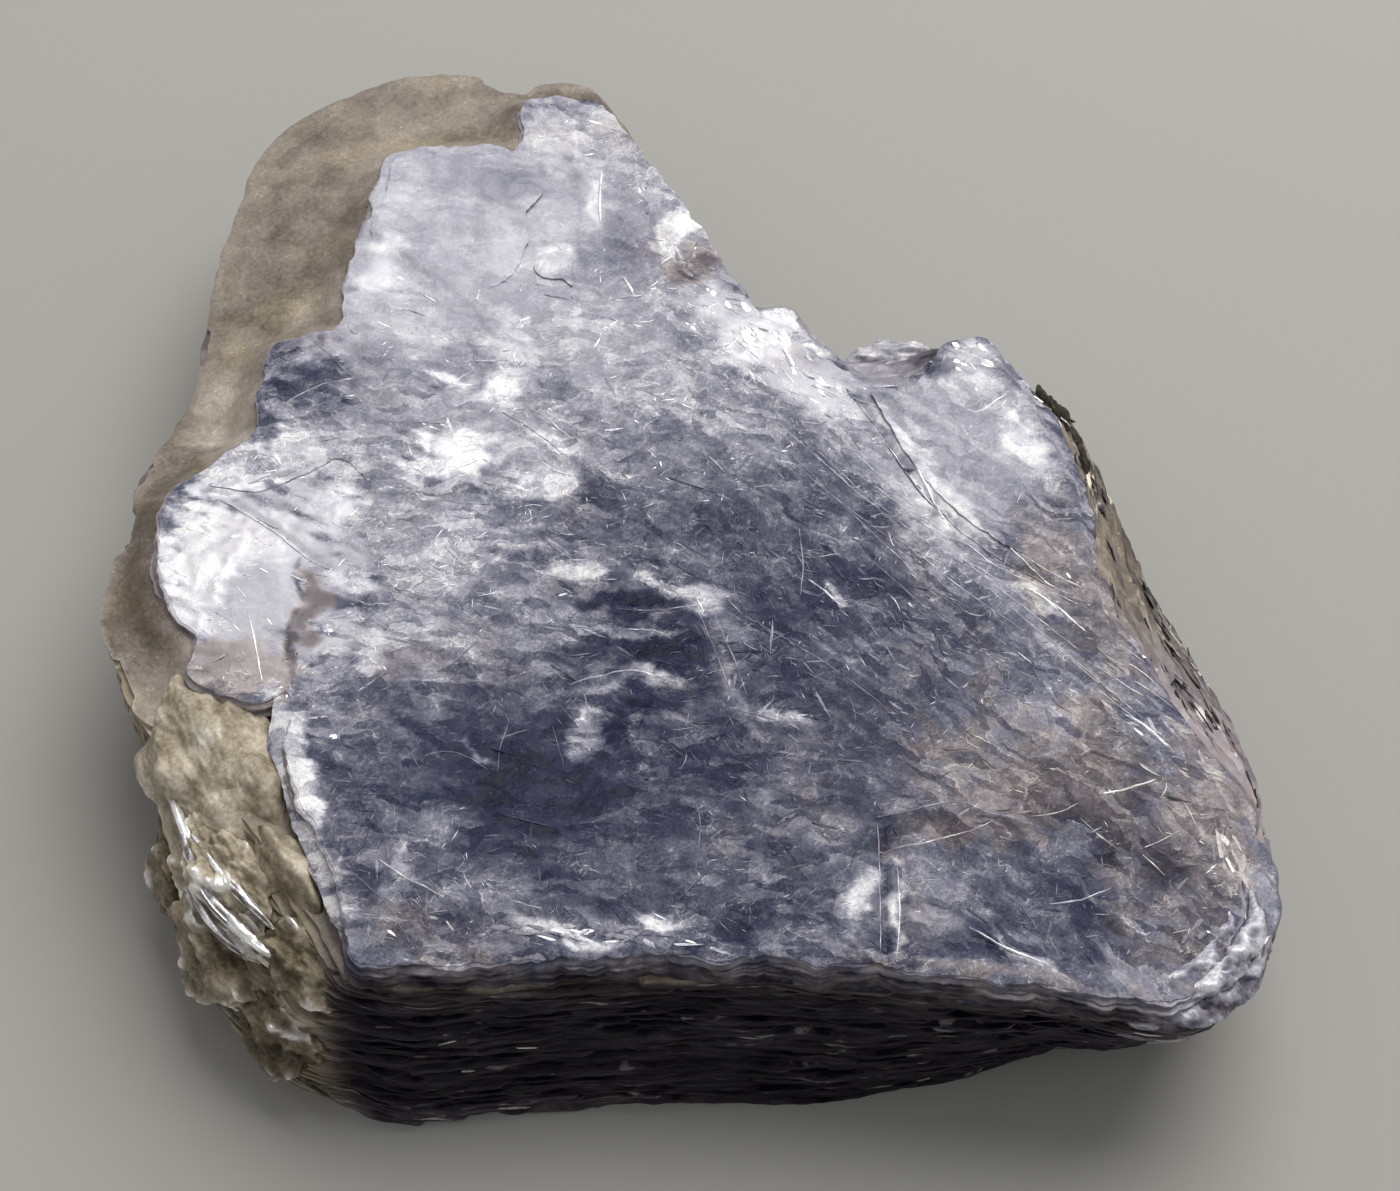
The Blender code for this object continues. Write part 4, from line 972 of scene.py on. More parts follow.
def add_slivers(materials):
    """Tufts of fine slivers that stand out of the upper face."""
    generator = np.random.default_rng(SEED + 2)
    centres, turn, stray = strewn(generator, SPRAYS * 3, SPRAYS, margin=0.98, clumps=1.6,
                                  layer=91.0, thin=-0.35, thick=0.25)
    counts = generator.integers(*SPRAY, len(centres))
    owner = np.repeat(np.arange(len(centres)), counts)
    count = len(owner)
    start = centres[owner] + generator.normal(0, TUFT_SPREAD, (count, 2))
    angle = np.radians(turn[owner] + (TUFT_FAN + 0.5 * stray[owner]) * generator.normal(0, 1, count))
    length = lengths_of(generator, SLIVER_LENGTH, count)
    curl = generator.normal(0, SLIVER_CURL, count)
    t = np.linspace(0, 1, SLIVER_POINTS)
    wobble = SLIVER_WOBBLE * generator.normal(0, 1, (count, SLIVER_POINTS))
    headings = angle[:, None] + curl[:, None] * t[None] + wobble
    stride = (length / SLIVER_POINTS)[:, None, None] * np.stack([np.cos(headings), np.sin(headings)], 2)
    spines = start[:, None] + np.cumsum(stride, 1)
    inside = within(np.array(PLATE) * 0.985, spines.reshape(-1, 2)).reshape(count, -1).all(1)
    spines, owner, length = spines[inside], owner[inside], length[inside]
    least, more = SLIVER_WIDTH
    broad = (least + more * np.sqrt(length)) * generator.uniform(0.6, 1.6, len(spines))
    halves = broad[:, None] * SLIVER_TAPER
    ground = face_height(spines[..., 0].ravel(), spines[..., 1].ravel()).reshape(len(spines), -1)
    points, faces = ribs(spines, halves, ground, 0.02 + 0.7 * halves)
    own = np.repeat(generator.normal(0.12, 0.12, len(spines)), 3 * SLIVER_POINTS)
    under = face_paint(points[:, 0], points[:, 1])
    return add_glints("slivers", points, faces, 0.2 + 0.75 * under["tone"] + own, under["warm"], materials)


def add_shards(materials):
    """Thin pointed shards that lie on the upper face, each tipped a little its own way."""
    generator = np.random.default_rng(SEED + 4)
    centres, turn, _ = strewn(generator, SHARDS, SHARDS, margin=0.975, clumps=1.8,
                              layer=93.0, thin=-0.4, thick=0.2)
    x, y = centres.T
    turn = np.radians(turn)
    length = lengths_of(generator, SHARD_LENGTH, len(x))
    least, more = SHARD_WIDTH
    width = (least + more * np.sqrt(length)) * generator.uniform(0.4, 1.6, len(x))
    along = SHARD_ALONG + generator.uniform(-0.25, 0.25, (len(x), SHARD_SIDES))
    across = SHARD_ACROSS * generator.uniform(0.5, 1.1, (len(x), SHARD_SIDES))
    c, s = np.cos(turn)[:, None], np.sin(turn)[:, None]
    long_part, short_part = along * length[:, None] / 2, across * width[:, None] / 2
    px = x[:, None] + long_part * c - short_part * s
    py = y[:, None] + long_part * s + short_part * c
    ground = face_height(px.ravel(), py.ravel()).reshape(px.shape)
    tilt = generator.normal(0, 0.10, (len(x), 1)) * short_part
    tilt = tilt + 0.01 * generator.normal(0, 1, (len(x), 1)) * long_part
    top = ground + SHARD_THICKNESS + tilt + np.abs(tilt).max(1, keepdims=True)
    sides = [np.stack([px, py, height], 2) for height in (top, ground - SHARD_SINK)]
    points = np.stack(sides, 1).reshape(-1, 3)
    n = SHARD_SIDES
    faces = [(0, k, k + 1) for k in range(1, n - 1)] + [(n, n + k + 1, n + k) for k in range(1, n - 1)]
    for k in range(n):
        j = (k + 1) % n
        faces += [(k, k + n, j), (j, k + n, j + n)]
    faces = (np.array(faces)[None] + 2 * n * np.arange(len(x))[:, None, None]).reshape(-1, 3)
    own = np.repeat(generator.normal(0.02, 0.10, len(x)), 2 * n)
    under = face_paint(points[:, 0], points[:, 1])
    tone = 0.14 + 0.86 * under["tone"] + own
    return add_glints("shards", points, faces, tone, under["warm"], materials, 20)


# Long hairs and folded rims on the face: their points, half width at the middle, and tone.
HAIRS = [
    ([(13.4, 4.6), (15.4, -0.6), (15.7, -1.9)], 0.22, 0.98),
    ([(10.6, 8), (12.3, 4.8), (14.4, 0.8), (16.7, -2.5), (19.7, -5.2), (23.6, -7.5)], 0.13, 0.1),
    ([(11.6, 5.9), (13.6, 2.2), (16.2, -2.4)], 0.1, 0.92),
    ([(5.6, 5.4), (9.2, 1.6), (13, -2.5)], 0.07, 0.85), ([(4.4, 4.4), (8.4, 0.4), (12.4, -3.4)], 0.05, 0.8),
    ([(12.3, 4.3), (14.4, 0.2), (15.6, -1.3)], 0.08, 0.2),
    ([(10.7, 1.8), (12.3, 0), (14, -1.7), (15.7, -3), (17.3, -4), (19, -5.5), (20.9, -6.6), (23.9, -8.2)],
      0.07, 0.85),
    ([(17.3, -1.9), (19.6, -3.8), (21.3, -5.7), (23.3, -7.4)], 0.09, 0.95),
    ([(20.4, -4.4), (22.6, -6), (24.3, -7)], 0.07, 0.9),
    ([(20.6, -7), (22.4, -8.3), (24.2, -10.2)], 0.16, 0.97),
    ([(25.7, -11.3), (27.6, -12.6), (29.4, -14.2)], 0.08, 0.95),
    ([(25.2, -11.9), (27.4, -13.6), (29.6, -15.2)], 0.07, 0.88),
    ([(24.9, -12.9), (27, -14.7), (29.3, -16.2)], 0.08, 0.92),
    ([(26.2, -10.6), (27.8, -11.6), (29.4, -13)], 0.07, 0.9),
    ([(26, -16.2), (27.2, -17), (28.6, -18.6)], 0.16, 0.98),
    ([(24.4, -14.3), (26.3, -16.1), (28.9, -19)], 0.07, 0.85),
    ([(9, 5), (13, 0.2), (17.2, -4.4)], 0.05, 0.84), ([(8, 3.4), (11.8, -0.8), (15.6, -4.6)], 0.06, 0.78),
    ([(6.4, 3), (10, -1.4), (13.8, -5.8)], 0.05, 0.8),
    ([(12.6, -3), (16.2, -6.6), (20.4, -10.2)], 0.06, 0.84),
    ([(10.8, -4.4), (14.2, -8.2), (17.6, -11.2)], 0.05, 0.74),
    ([(16.8, -4.8), (20.2, -8.2), (23.8, -11.6)], 0.06, 0.86),
    ([(14.6, -2.2), (18, -5.6), (21.8, -8.8)], 0.05, 0.88),
    ([(18.6, -7.4), (22, -11), (25, -14.4)], 0.06, 0.82),
    ([(20.8, -9.6), (24, -13), (27.2, -16.6)], 0.06, 0.86),
    ([(11.7, 8.7), (13.7, 8.9), (14.6, 8.2), (16, 9.1)], 0.12, 0.75),
    ([(16.9, 8.1), (18.4, 7), (20.6, 8.8)], 0.08, 0.95),
    ([(7.2, -6.3), (8.2, -7.2), (9.2, -8.4)], 0.16, 0.95),
    ([(6.6, -2.4), (6.9, -5.2), (6.7, -7.6)], 0.06, 0.85),
    ([(3.4, -9.2), (7, -11.8), (10.2, -14.6), (12.8, -17.2)], 0.06, 0.72),
    ([(10.2, -8.6), (11.6, -11), (13.2, -14.2)], 0.07, 0.78),
    ([(0.4, -8.6), (1.4, -11.6), (2.6, -15.6)], 0.1, 0.7),
    ([(1.4, -8.9), (2.4, -11.8), (3.4, -15.3)], 0.07, 0.74),
    ([(2.9, -16.2), (4.4, -16.6), (6.4, -17.6)], 0.14, 0.76),
    ([(-7.2, -13.9), (-5.4, -13.2), (-3.4, -12.9), (-1, -13.9)], 0.13, 0.84),
    ([(-6.6, -14.6), (-6.2, -16.4), (-6.4, -18.6)], 0.12, 0.68),
    ([(-10.9, -16.4), (-11.4, -18.4), (-11.5, -20.4)], 0.06, 0.7),
    ([(-15.9, -19.6), (-14.6, -18.9), (-13.2, -19.4), (-12, -20.3)], 0.07, 0.7),
    ([(-8.4, -16.9), (-7.9, -18.6), (-7.6, -20)], 0.05, 0.66),
    ([(-18.2, -26.4), (-16.2, -27.9), (-14.2, -29)], 0.12, 0.86),
    ([(-20, -27.2), (-17.8, -29.1), (-16.1, -31.9)], 0.07, 0.62),
    ([(0.2, -22.4), (0.5, -24.6), (0.2, -27.4)], 0.06, 0.6),
    ([(-3.6, -8.2), (-1.8, -8.3), (0.4, -8.1)], 0.05, 0.85),
    ([(-4.6, -9.9), (-2.4, -9.9), (-1.2, -10.6)], 0.07, 0.88),
    ([(11, -23.8), (12.9, -23.3), (14.8, -22.6), (16.8, -22.6)], 0.1, 0.72),
    ([(11, -26), (12.8, -25.7), (14.9, -25.1), (16.8, -24.4)], 0.13, 0.8),
    ([(16, -31), (17.8, -32.3), (20.2, -33.4)], 0.13, 0.97),
    ([(20.6, -29.4), (22.4, -29.1), (24.3, -28.2)], 0.1, 0.88),
    ([(17.6, -28.6), (19, -29.6), (19.9, -31.2)], 0.06, 0.7), ([(26.3, -25.8), (27.6, -27.2)], 0.08, 0.86),
    ([(26.5, -25.4), (28.9, -24.1)], 0.08, 0.84), ([(22.8, -23.6), (24.2, -25), (25.2, -25.8)], 0.08, 0.8),
    ([(19.8, -23.6), (21.4, -23.3), (22.8, -22.6)], 0.08, 0.85),
    ([(24.2, -21.9), (26, -21.4), (27.6, -20.8)], 0.16, 0.95),
    ([(10.9, -24.3), (10.9, -28.4), (10.8, -32.6)], 0.07, 0.8),
    ([(11.9, -27.2), (12, -30), (11.7, -32.8)], 0.1, 0.9),
    ([(-24.9, 12.9), (-23.2, 11), (-21.8, 9.4)], 0.08, 0.7),
    ([(-27.3, 7), (-24.4, 8.9), (-22, 9.6)], 0.1, 0.78),
    ([(-10.9, 7.6), (-9.2, 6.3), (-7.6, 4.6)], 0.1, 0.93),
    ([(-12.2, 6.9), (-10, 5.2), (-8, 3.2)], 0.07, 0.3),
    ([(-30.4, 1.2), (-27.4, 0.6), (-24.4, 2.1), (-22.4, 3.2), (-20.8, 1.8)], 0.07, 0.35),
    ([(-29.6, -0.4), (-26.6, -2.3), (-24, -4.6), (-22.4, -5.6)], 0.07, 0.42),
    ([(-27.3, -8.8), (-26.7, -11), (-26, -14)], 0.14, 0.97),
    ([(-6.2, 28), (-6.3, 25.6), (-6.2, 23.4)], 0.22, 0.92),
]
HAIR_STEP = 0.25
HAIR_POINTS = 6  # the fewest points of a hair
HAIR_CONTRAST = 0.75  # how much of a hair's own tone shows over the tone under it


def add_hairs(materials):
    """The long hairs, folds and bright streaks of the face."""
    points, faces, tones, count = [], [], [], 0
    for number, (line, half, tone) in enumerate(HAIRS):
        smooth, at = drawn(np.array(line, float), HAIR_STEP, HAIR_POINTS)
        smooth[0] = line[0]
        wander = [waves(*smooth.T, 1.0, layer + number) for layer in (7.0, 8.0)]
        smooth += 0.06 * np.column_stack(wander)
        share = at / at[-1]
        taper = 0.15 + np.sin(math.pi * share) ** 0.6
        halves = half * taper * (0.8 + 0.6 * waves(at, 0 * at, 0.8, number * 1.7))
        ground = ground_height(*smooth.T)
        rib, found = ribs(smooth[None], halves[None], ground[None], (0.04 + 0.5 * halves)[None])
        points.append(rib)
        faces.append(found + count)
        tones.append(np.full(len(rib), tone))
        count += len(rib)
    points, faces, tones = map(np.concatenate, (points, faces, tones))
    x, y = points[:, 0], points[:, 1]
    under = face_paint(x, y)
    tones = under["tone"] + HAIR_CONTRAST * (tones - under["tone"]) + 0.2 * rough(x, y, 1.0, 97.0)
    return add_glints("hairs", points, faces, tones, under["warm"], materials)


# Crumpled ridges on the left-front flank, folds at the right-front corner and the silver sliver beside the
# plate: the points, half width and tone. Their light tones are partly painted highlights, for bright streaks
# where they catch the light.
RIDGES = {
    "silver_ridge": ([(-31.2, -19.5, 11), (-30.2, -23, 11.3), (-28.6, -26.8, 11.5), (-26.9, -28.9, 11.5),
      (-24.9, -30.6, 11.3), (-23.3, -31, 10.8)], 0.42, 1),
    "upper_ridge": ([(-29.6, -23.4, 11.8), (-28, -25.6, 12), (-26.2, -27.6, 11.9), (-24.4, -29.3, 11.4)],
      0.3, 0.92),
    "under_ridge": ([(-29.8, -26, 10.4), (-28.2, -28.6, 10.6), (-26.2, -30.4, 10.4)], 0.32, 0.88),
    "corner_fold": ([(27, -34.6, 13.4), (29, -34.2, 13.9), (30.4, -33.3, 14), (31.6, -31.9, 14),
      (32.7, -29.8, 13.7), (32.9, -26.6, 12.9)], 0.8, 0.9),
    "inner_fold": ([(26.9, -33.7, 13.8), (28.8, -32.9, 14.1), (30.4, -31.6, 14.1), (31.2, -29.8, 14),
      (31.4, -27, 13.7)], 0.7, 0.78),
    "outer_fold": ([(25.4, -34.9, 12.3), (27.8, -35.3, 12.8), (29.6, -35, 12.9), (31.6, -33.4, 12.9),
      (33, -31, 12.6), (33.4, -27.8, 11.8)], 0.85, 0.72),
    "lower_ridge": ([(-30.4, -25.4, 5.4), (-28.9, -28, 5.4), (-27, -30.2, 5.2)], 0.4, 0.78),
    "foot_ridge": ([(-29.4, -29, 4.4), (-27, -31.6, 3.6), (-23.6, -34.2, 2.6), (-21.4, -35.6, 2)], 0.35,
      0.66),
    "plate_sliver": ([(-24.3, -14.9, 14.3), (-24, -18, 14), (-23.2, -21.2, 13.7), (-22, -24.6, 13.4),
      (-20.9, -27.6, 13.3), (-19.9, -31.4, 13.6)], 0.45, 0.88),
}
FACE_RIDGES = ("corner_fold", "inner_fold", "outer_fold")  # ridges that look like the plate's face
RIDGE_STEP = 0.12
RIDGE_SIDES = 22
RIDGE_ENDS = 0.03  # the share of a ridge's swell that is cut off at each end
FOLD_MIDDLE = 0.7  # a crumple of this height has the ridge's own tone
FOLD_REACH = 1.4  # how far apart the folds' noise is read around a ridge
FOLD_SCALE = 1.5


def add_ridge(name, materials):
    """A crumpled ridge along a line."""
    line, half, tone = RIDGES[name]
    spine, at = drawn(np.array(line, float), RIDGE_STEP, 2)
    along = np.gradient(spine, axis=0)
    along /= np.linalg.norm(along, axis=1)[:, None]
    side = np.cross(along, (0, 0, 1))
    up = np.cross(side, along)
    share = RIDGE_ENDS + (1 - 2 * RIDGE_ENDS) * at / at[-1]
    radius = half * np.sin(math.pi * share) ** 0.55
    points, tones = [], []
    for turn in np.linspace(0, 2 * math.pi, RIDGE_SIDES, endpoint=False):
        ring = spine + (side * math.cos(turn) + up * math.sin(turn)) * radius[:, None]
        crumple = folds(turn, at, 0.75 if name in FACE_RIDGES else 0.35)
        out = (ring - spine) * (0.5 + 0.85 * crumple)[:, None]
        points.append(spine + out)
        tones.append(crumple)
    points = np.stack(points, 1).reshape(-1, 3)
    faces, rings = [], len(spine)
    for ring in range(rings - 1):
        for side_number in range(RIDGE_SIDES):
            a = ring * RIDGE_SIDES + side_number
            b = ring * RIDGE_SIDES + (side_number + 1) % RIDGE_SIDES
            faces += [(a, a + RIDGE_SIDES, b), (b, a + RIDGE_SIDES, b + RIDGE_SIDES)]
    for ring, order in ((0, 1), (rings - 1, -1)):
        first = ring * RIDGE_SIDES
        for k in range(1, RIDGE_SIDES - 1):
            faces.append((first, first + k, first + k + 1)[::order])
    # Folds that stand out are painted lighter and those sunk in darker: painted highlight and painted shade.
    crumple = np.stack(tones, 1).ravel() - FOLD_MIDDLE
    if name in FACE_RIDGES:
        kind, tones = "face", tone + 0.8 * crumple
        paint = {"tone": tones, "warm": 0.6 - 0.5 * smoothstep(0.5, 0.7, tones),
                 "silver": smoothstep(0.7, 0.95, tones), "wisp": np.full(len(tones), 0.6)}
    else:
        kind, tones = "crust", tone + 0.9 * crumple
        paint = {"tone": tones, "warm": 0.9 - 0.6 * smoothstep(0.5, 0.8, tones),
                 "silver": smoothstep(0.6, 0.95, tones)}
    return make_piece(name, bent(points), np.array(faces), materials[kind], paint, 60)


def folds(turn, at, crossing):
    """How far a ridge's folds stand out at places along it. The crossing share of them run over it."""
    x, y = FOLD_REACH * math.cos(turn), FOLD_REACH * math.sin(turn)
    long_ones = [ridged(Vector((x, y, 0.28 * along)) * FOLD_SCALE) for along in at]
    cross_ones = [ridged(Vector((0.6 * x, 0.6 * y, 0.9 * along + 5)) * FOLD_SCALE) for along in at]
    return (1 - crossing) * np.array(long_ones) + crossing * np.array(cross_ones)


# --- Small flakes ---

FLAKE_SIDES = 7
FLAKE_THICKNESS = 0.07
FLAKE_STRAY = 14  # how far flakes stray from their direction, in degrees


def flake_mesh(centre, normal, heading, length, width, generator):
    """Points and faces of one small flake: a thin plate of uneven outline, a little domed."""
    normal = normal / np.linalg.norm(normal)
    long_axis = heading - normal * (heading @ normal)
    long_axis /= np.linalg.norm(long_axis)
    short_axis = np.cross(normal, long_axis)
    turns = np.arange(FLAKE_SIDES) + generator.uniform(-0.35, 0.35, FLAKE_SIDES)
    turns = turns * 2 * math.pi / FLAKE_SIDES
    reach = generator.uniform(0.6, 1.0, FLAKE_SIDES)
    rim = centre + (0.5 * length * reach * np.cos(turns))[:, None] * long_axis
    rim = rim + (0.5 * width * reach * np.sin(turns))[:, None] * short_axis
    rim = rim - (0.12 * width * generator.random(FLAKE_SIDES))[:, None] * normal
    down = FLAKE_THICKNESS * normal
    points = np.concatenate([rim, rim - down, [centre + 0.2 * down, centre - down]])
    n, faces = FLAKE_SIDES, []
    for k in range(n):
        j = (k + 1) % n
        faces += [(k, j, 2 * n), (n + j, n + k, 2 * n + 1), (k, n + k, j), (j, n + k, n + j)]
    return points, faces


def scattered(generator, area, count):
    """Spots on the upper face inside a turned ellipse, thickest in its middle."""
    (cx, cy), (rx, ry), turn = area
    spread = generator.normal(0, 0.5, (count, 2)).clip(-1, 1) * (rx, ry)
    x, y = turned(spread[:, 0], spread[:, 1], turn)
    x, y = x + cx, y + cy
    return np.column_stack([x, y, ground_height(x, y) + 0.03]), np.tile((0.0, 0.0, 1.0), (count, 1))


WALL_LEAN = 0.3  # how much the flakes on the wall face upwards


def on_wall(wall, generator, first, last, low, high, count):
    """Spots on the book's wall between two places, counted in outline points, and between two heights."""
    places = generator.uniform(first, last, count)
    heights = generator.uniform(low, high, count)
    spots, facing = [], []
    for place, height in zip(places, heights):
        run = wall.loop(height, np.array([place - 0.1, place, place + 0.1]))
        out = outward(run)[1]
        spots.append((*(run[1] + out * 0.05), height))
        facing.append((*out, WALL_LEAN))
    return np.array(spots), np.array(facing)


# Flakes on the face: the area, how many, length and width, which way they run, tilt, tone and how warm.
FACE_FLAKES = [
    (((29.6, -31), (3.2, 3.4), 30), 12, (0.6, 1.8), (0.15, 0.45), 48, 0.05, 0.62, 0.3),
    (((27.3, -17.2), (1, 1.2), 30), 6, (0.7, 1.6), (0.12, 0.35), -45, 0.1, 0.9, 0.1),
    (((28.7, -11.6), (0.8, 1.4), 40), 7, (0.9, 2.2), (0.2, 0.5), -48, 0.1, 1, 0.2),
    (((31.6, -25.5), (0.9, 4), 5), 16, (1, 2.6), (0.2, 0.6), -75, 0.05, 0.74, 0.6),
    (((5.4, 12.4), (6.5, 1.6), -48), 30, (0.6, 2.2), (0.2, 0.7), -55, 0.1, 0.95, 0),
    (((-1.6, 23), (4.5, 1), -62), 20, (0.7, 1.8), (0.2, 0.6), -62, 0.12, 0.9, 0.2),
    (((17.6, 11), (2.2, 1.2), 0), 8, (0.7, 1.6), (0.2, 0.6), -30, 0.12, 0.95, 0.1),
    (((-6, -31.5), (9, 0.6), -8), 22, (0.8, 2.4), (0.2, 0.5), -12, 0.1, 0.95, 0.1),
    (((-22.4, -10.2), (0.3, 0.3), 0), 2, (0.7, 0.9), (0.4, 0.5), -20, 0.05, 1.1, 0),
    (((-21.4, -17.9), (0.2, 0.2), 0), 1, (0.8, 0.9), (0.5, 0.6), -30, 0.05, 1.1, 0),
]
# Flakes on the wall: first and last place, lowest and highest, then as above.
WALL_FLAKES = [
    (9, 13.4, 7, 12, 60, (1, 3), (0.3, 0.9), -20, 0.06, 0.58, 0.4),
    (14, 23.4, 4.5, 12.4, 200, (0.8, 3), (0.15, 0.5), -62, 0.1, 0.5, 0.6),
    (14, 23.4, 0.5, 11, 160, (1, 3), (0.2, 0.7), -66, 0.1, 0.24, 0.8),
    (0.5, 7.5, 0.5, 10, 40, (0.8, 2.6), (0.08, 0.2), 0, 0.08, 0.24, 0.8),
]
WALL_SPREAD = 0.22  # how much the tones of the flakes on the wall differ


def add_flakes(wall, materials):
    """The small bright flakes at the edges, on the corner and over the flanks."""
    generator = np.random.default_rng(SEED + 3)
    points, faces, tones, warms, count = [], [], [], [], 0
    groups = [(scattered(generator, area, many), *rest) for area, many, *rest in FACE_FLAKES]
    groups += [(on_wall(wall, generator, *row[:5]), *row[5:]) for row in WALL_FLAKES]
    for number, ((spots, facing), lengths, widths, turn, tilt, tone, warm) in enumerate(groups):
        on_face = number < len(FACE_FLAKES)
        under = face_paint(spots[:, 0], spots[:, 1])["tone"] if on_face else np.full(len(spots), tone)
        for spot, normal, below in zip(spots, facing, under):
            angle = math.radians(turn + generator.normal(0, FLAKE_STRAY))
            heading = np.array((math.cos(angle), math.sin(angle), 0.02))
            tipped = normal + generator.normal(0, tilt, 3)
            length, width = generator.uniform(*lengths), generator.uniform(*widths)
            flake, found = flake_mesh(spot, tipped, heading, length, width, generator)
            points.append(flake)
            faces.append(np.array(found) + count)
            spread = generator.normal(0, 0.09 if on_face else WALL_SPREAD)
            tones.append(np.full(len(flake), 0.5 * (below + tone) + spread))
            warms.append(np.full(len(flake), warm))
            count += len(flake)
    points, faces, tones, warms = map(np.concatenate, (points, faces, tones, warms))
    return add_glints("small_flakes", points, faces, tones, warms, materials, 30, 0.55)


# --- Materials ---


def linear(red, green, blue):
    """A colour given as a screen shows it, from 0 to 255, in the linear values that shaders take."""
    shown = np.array([red, green, blue]) / 255
    return (*np.where(shown <= 0.04045, shown / 12.92, ((shown + 0.055) / 1.055) ** 2.4), 1.0)


# Colours by tone: how light each one looks, then the colour itself.
COOL = [(0.0, (5, 6, 36)), (0.12, (18, 21, 60)), (0.25, (45, 48, 74)), (0.4, (82, 85, 104)),
        (0.55, (125, 125, 141)), (0.7, (167, 166, 179)), (0.85, (212, 212, 219)), (1.0, (252, 252, 252))]
MAUVE = [(0.0, (8, 5, 8)), (0.2, (54, 46, 50)), (0.4, (100, 91, 94)), (0.6, (150, 140, 140)),
         (0.8, (203, 193, 190)), (1.0, (250, 246, 242))]
WARM = [(0.0, (10, 8, 6)), (0.2, (56, 49, 43)), (0.4, (109, 99, 90)), (0.6, (160, 150, 140)),
        (0.8, (210, 201, 190)), (1.0, (250, 246, 240))]
BUFF = [(0.0, (14, 10, 4)), (0.2, (56, 48, 34)), (0.4, (108, 98, 79)), (0.6, (160, 148, 128)),
        (0.8, (209, 199, 180)), (1.0, (250, 245, 234))]


ROUGHNESS = {"face": 0.42, "glint": 0.32, "fringe": 0.42, "edge": 0.42, "crust": 0.48}
BUMPS = {"face": 0.09, "glint": 0.02, "fringe": 0.08, "edge": 0.08, "crust": 0.06}  # heights in millimetres
SPECULAR = 0.25  # how strongly every material mirrors, where half is usual
FIBRE_SHARPNESS = 16.0


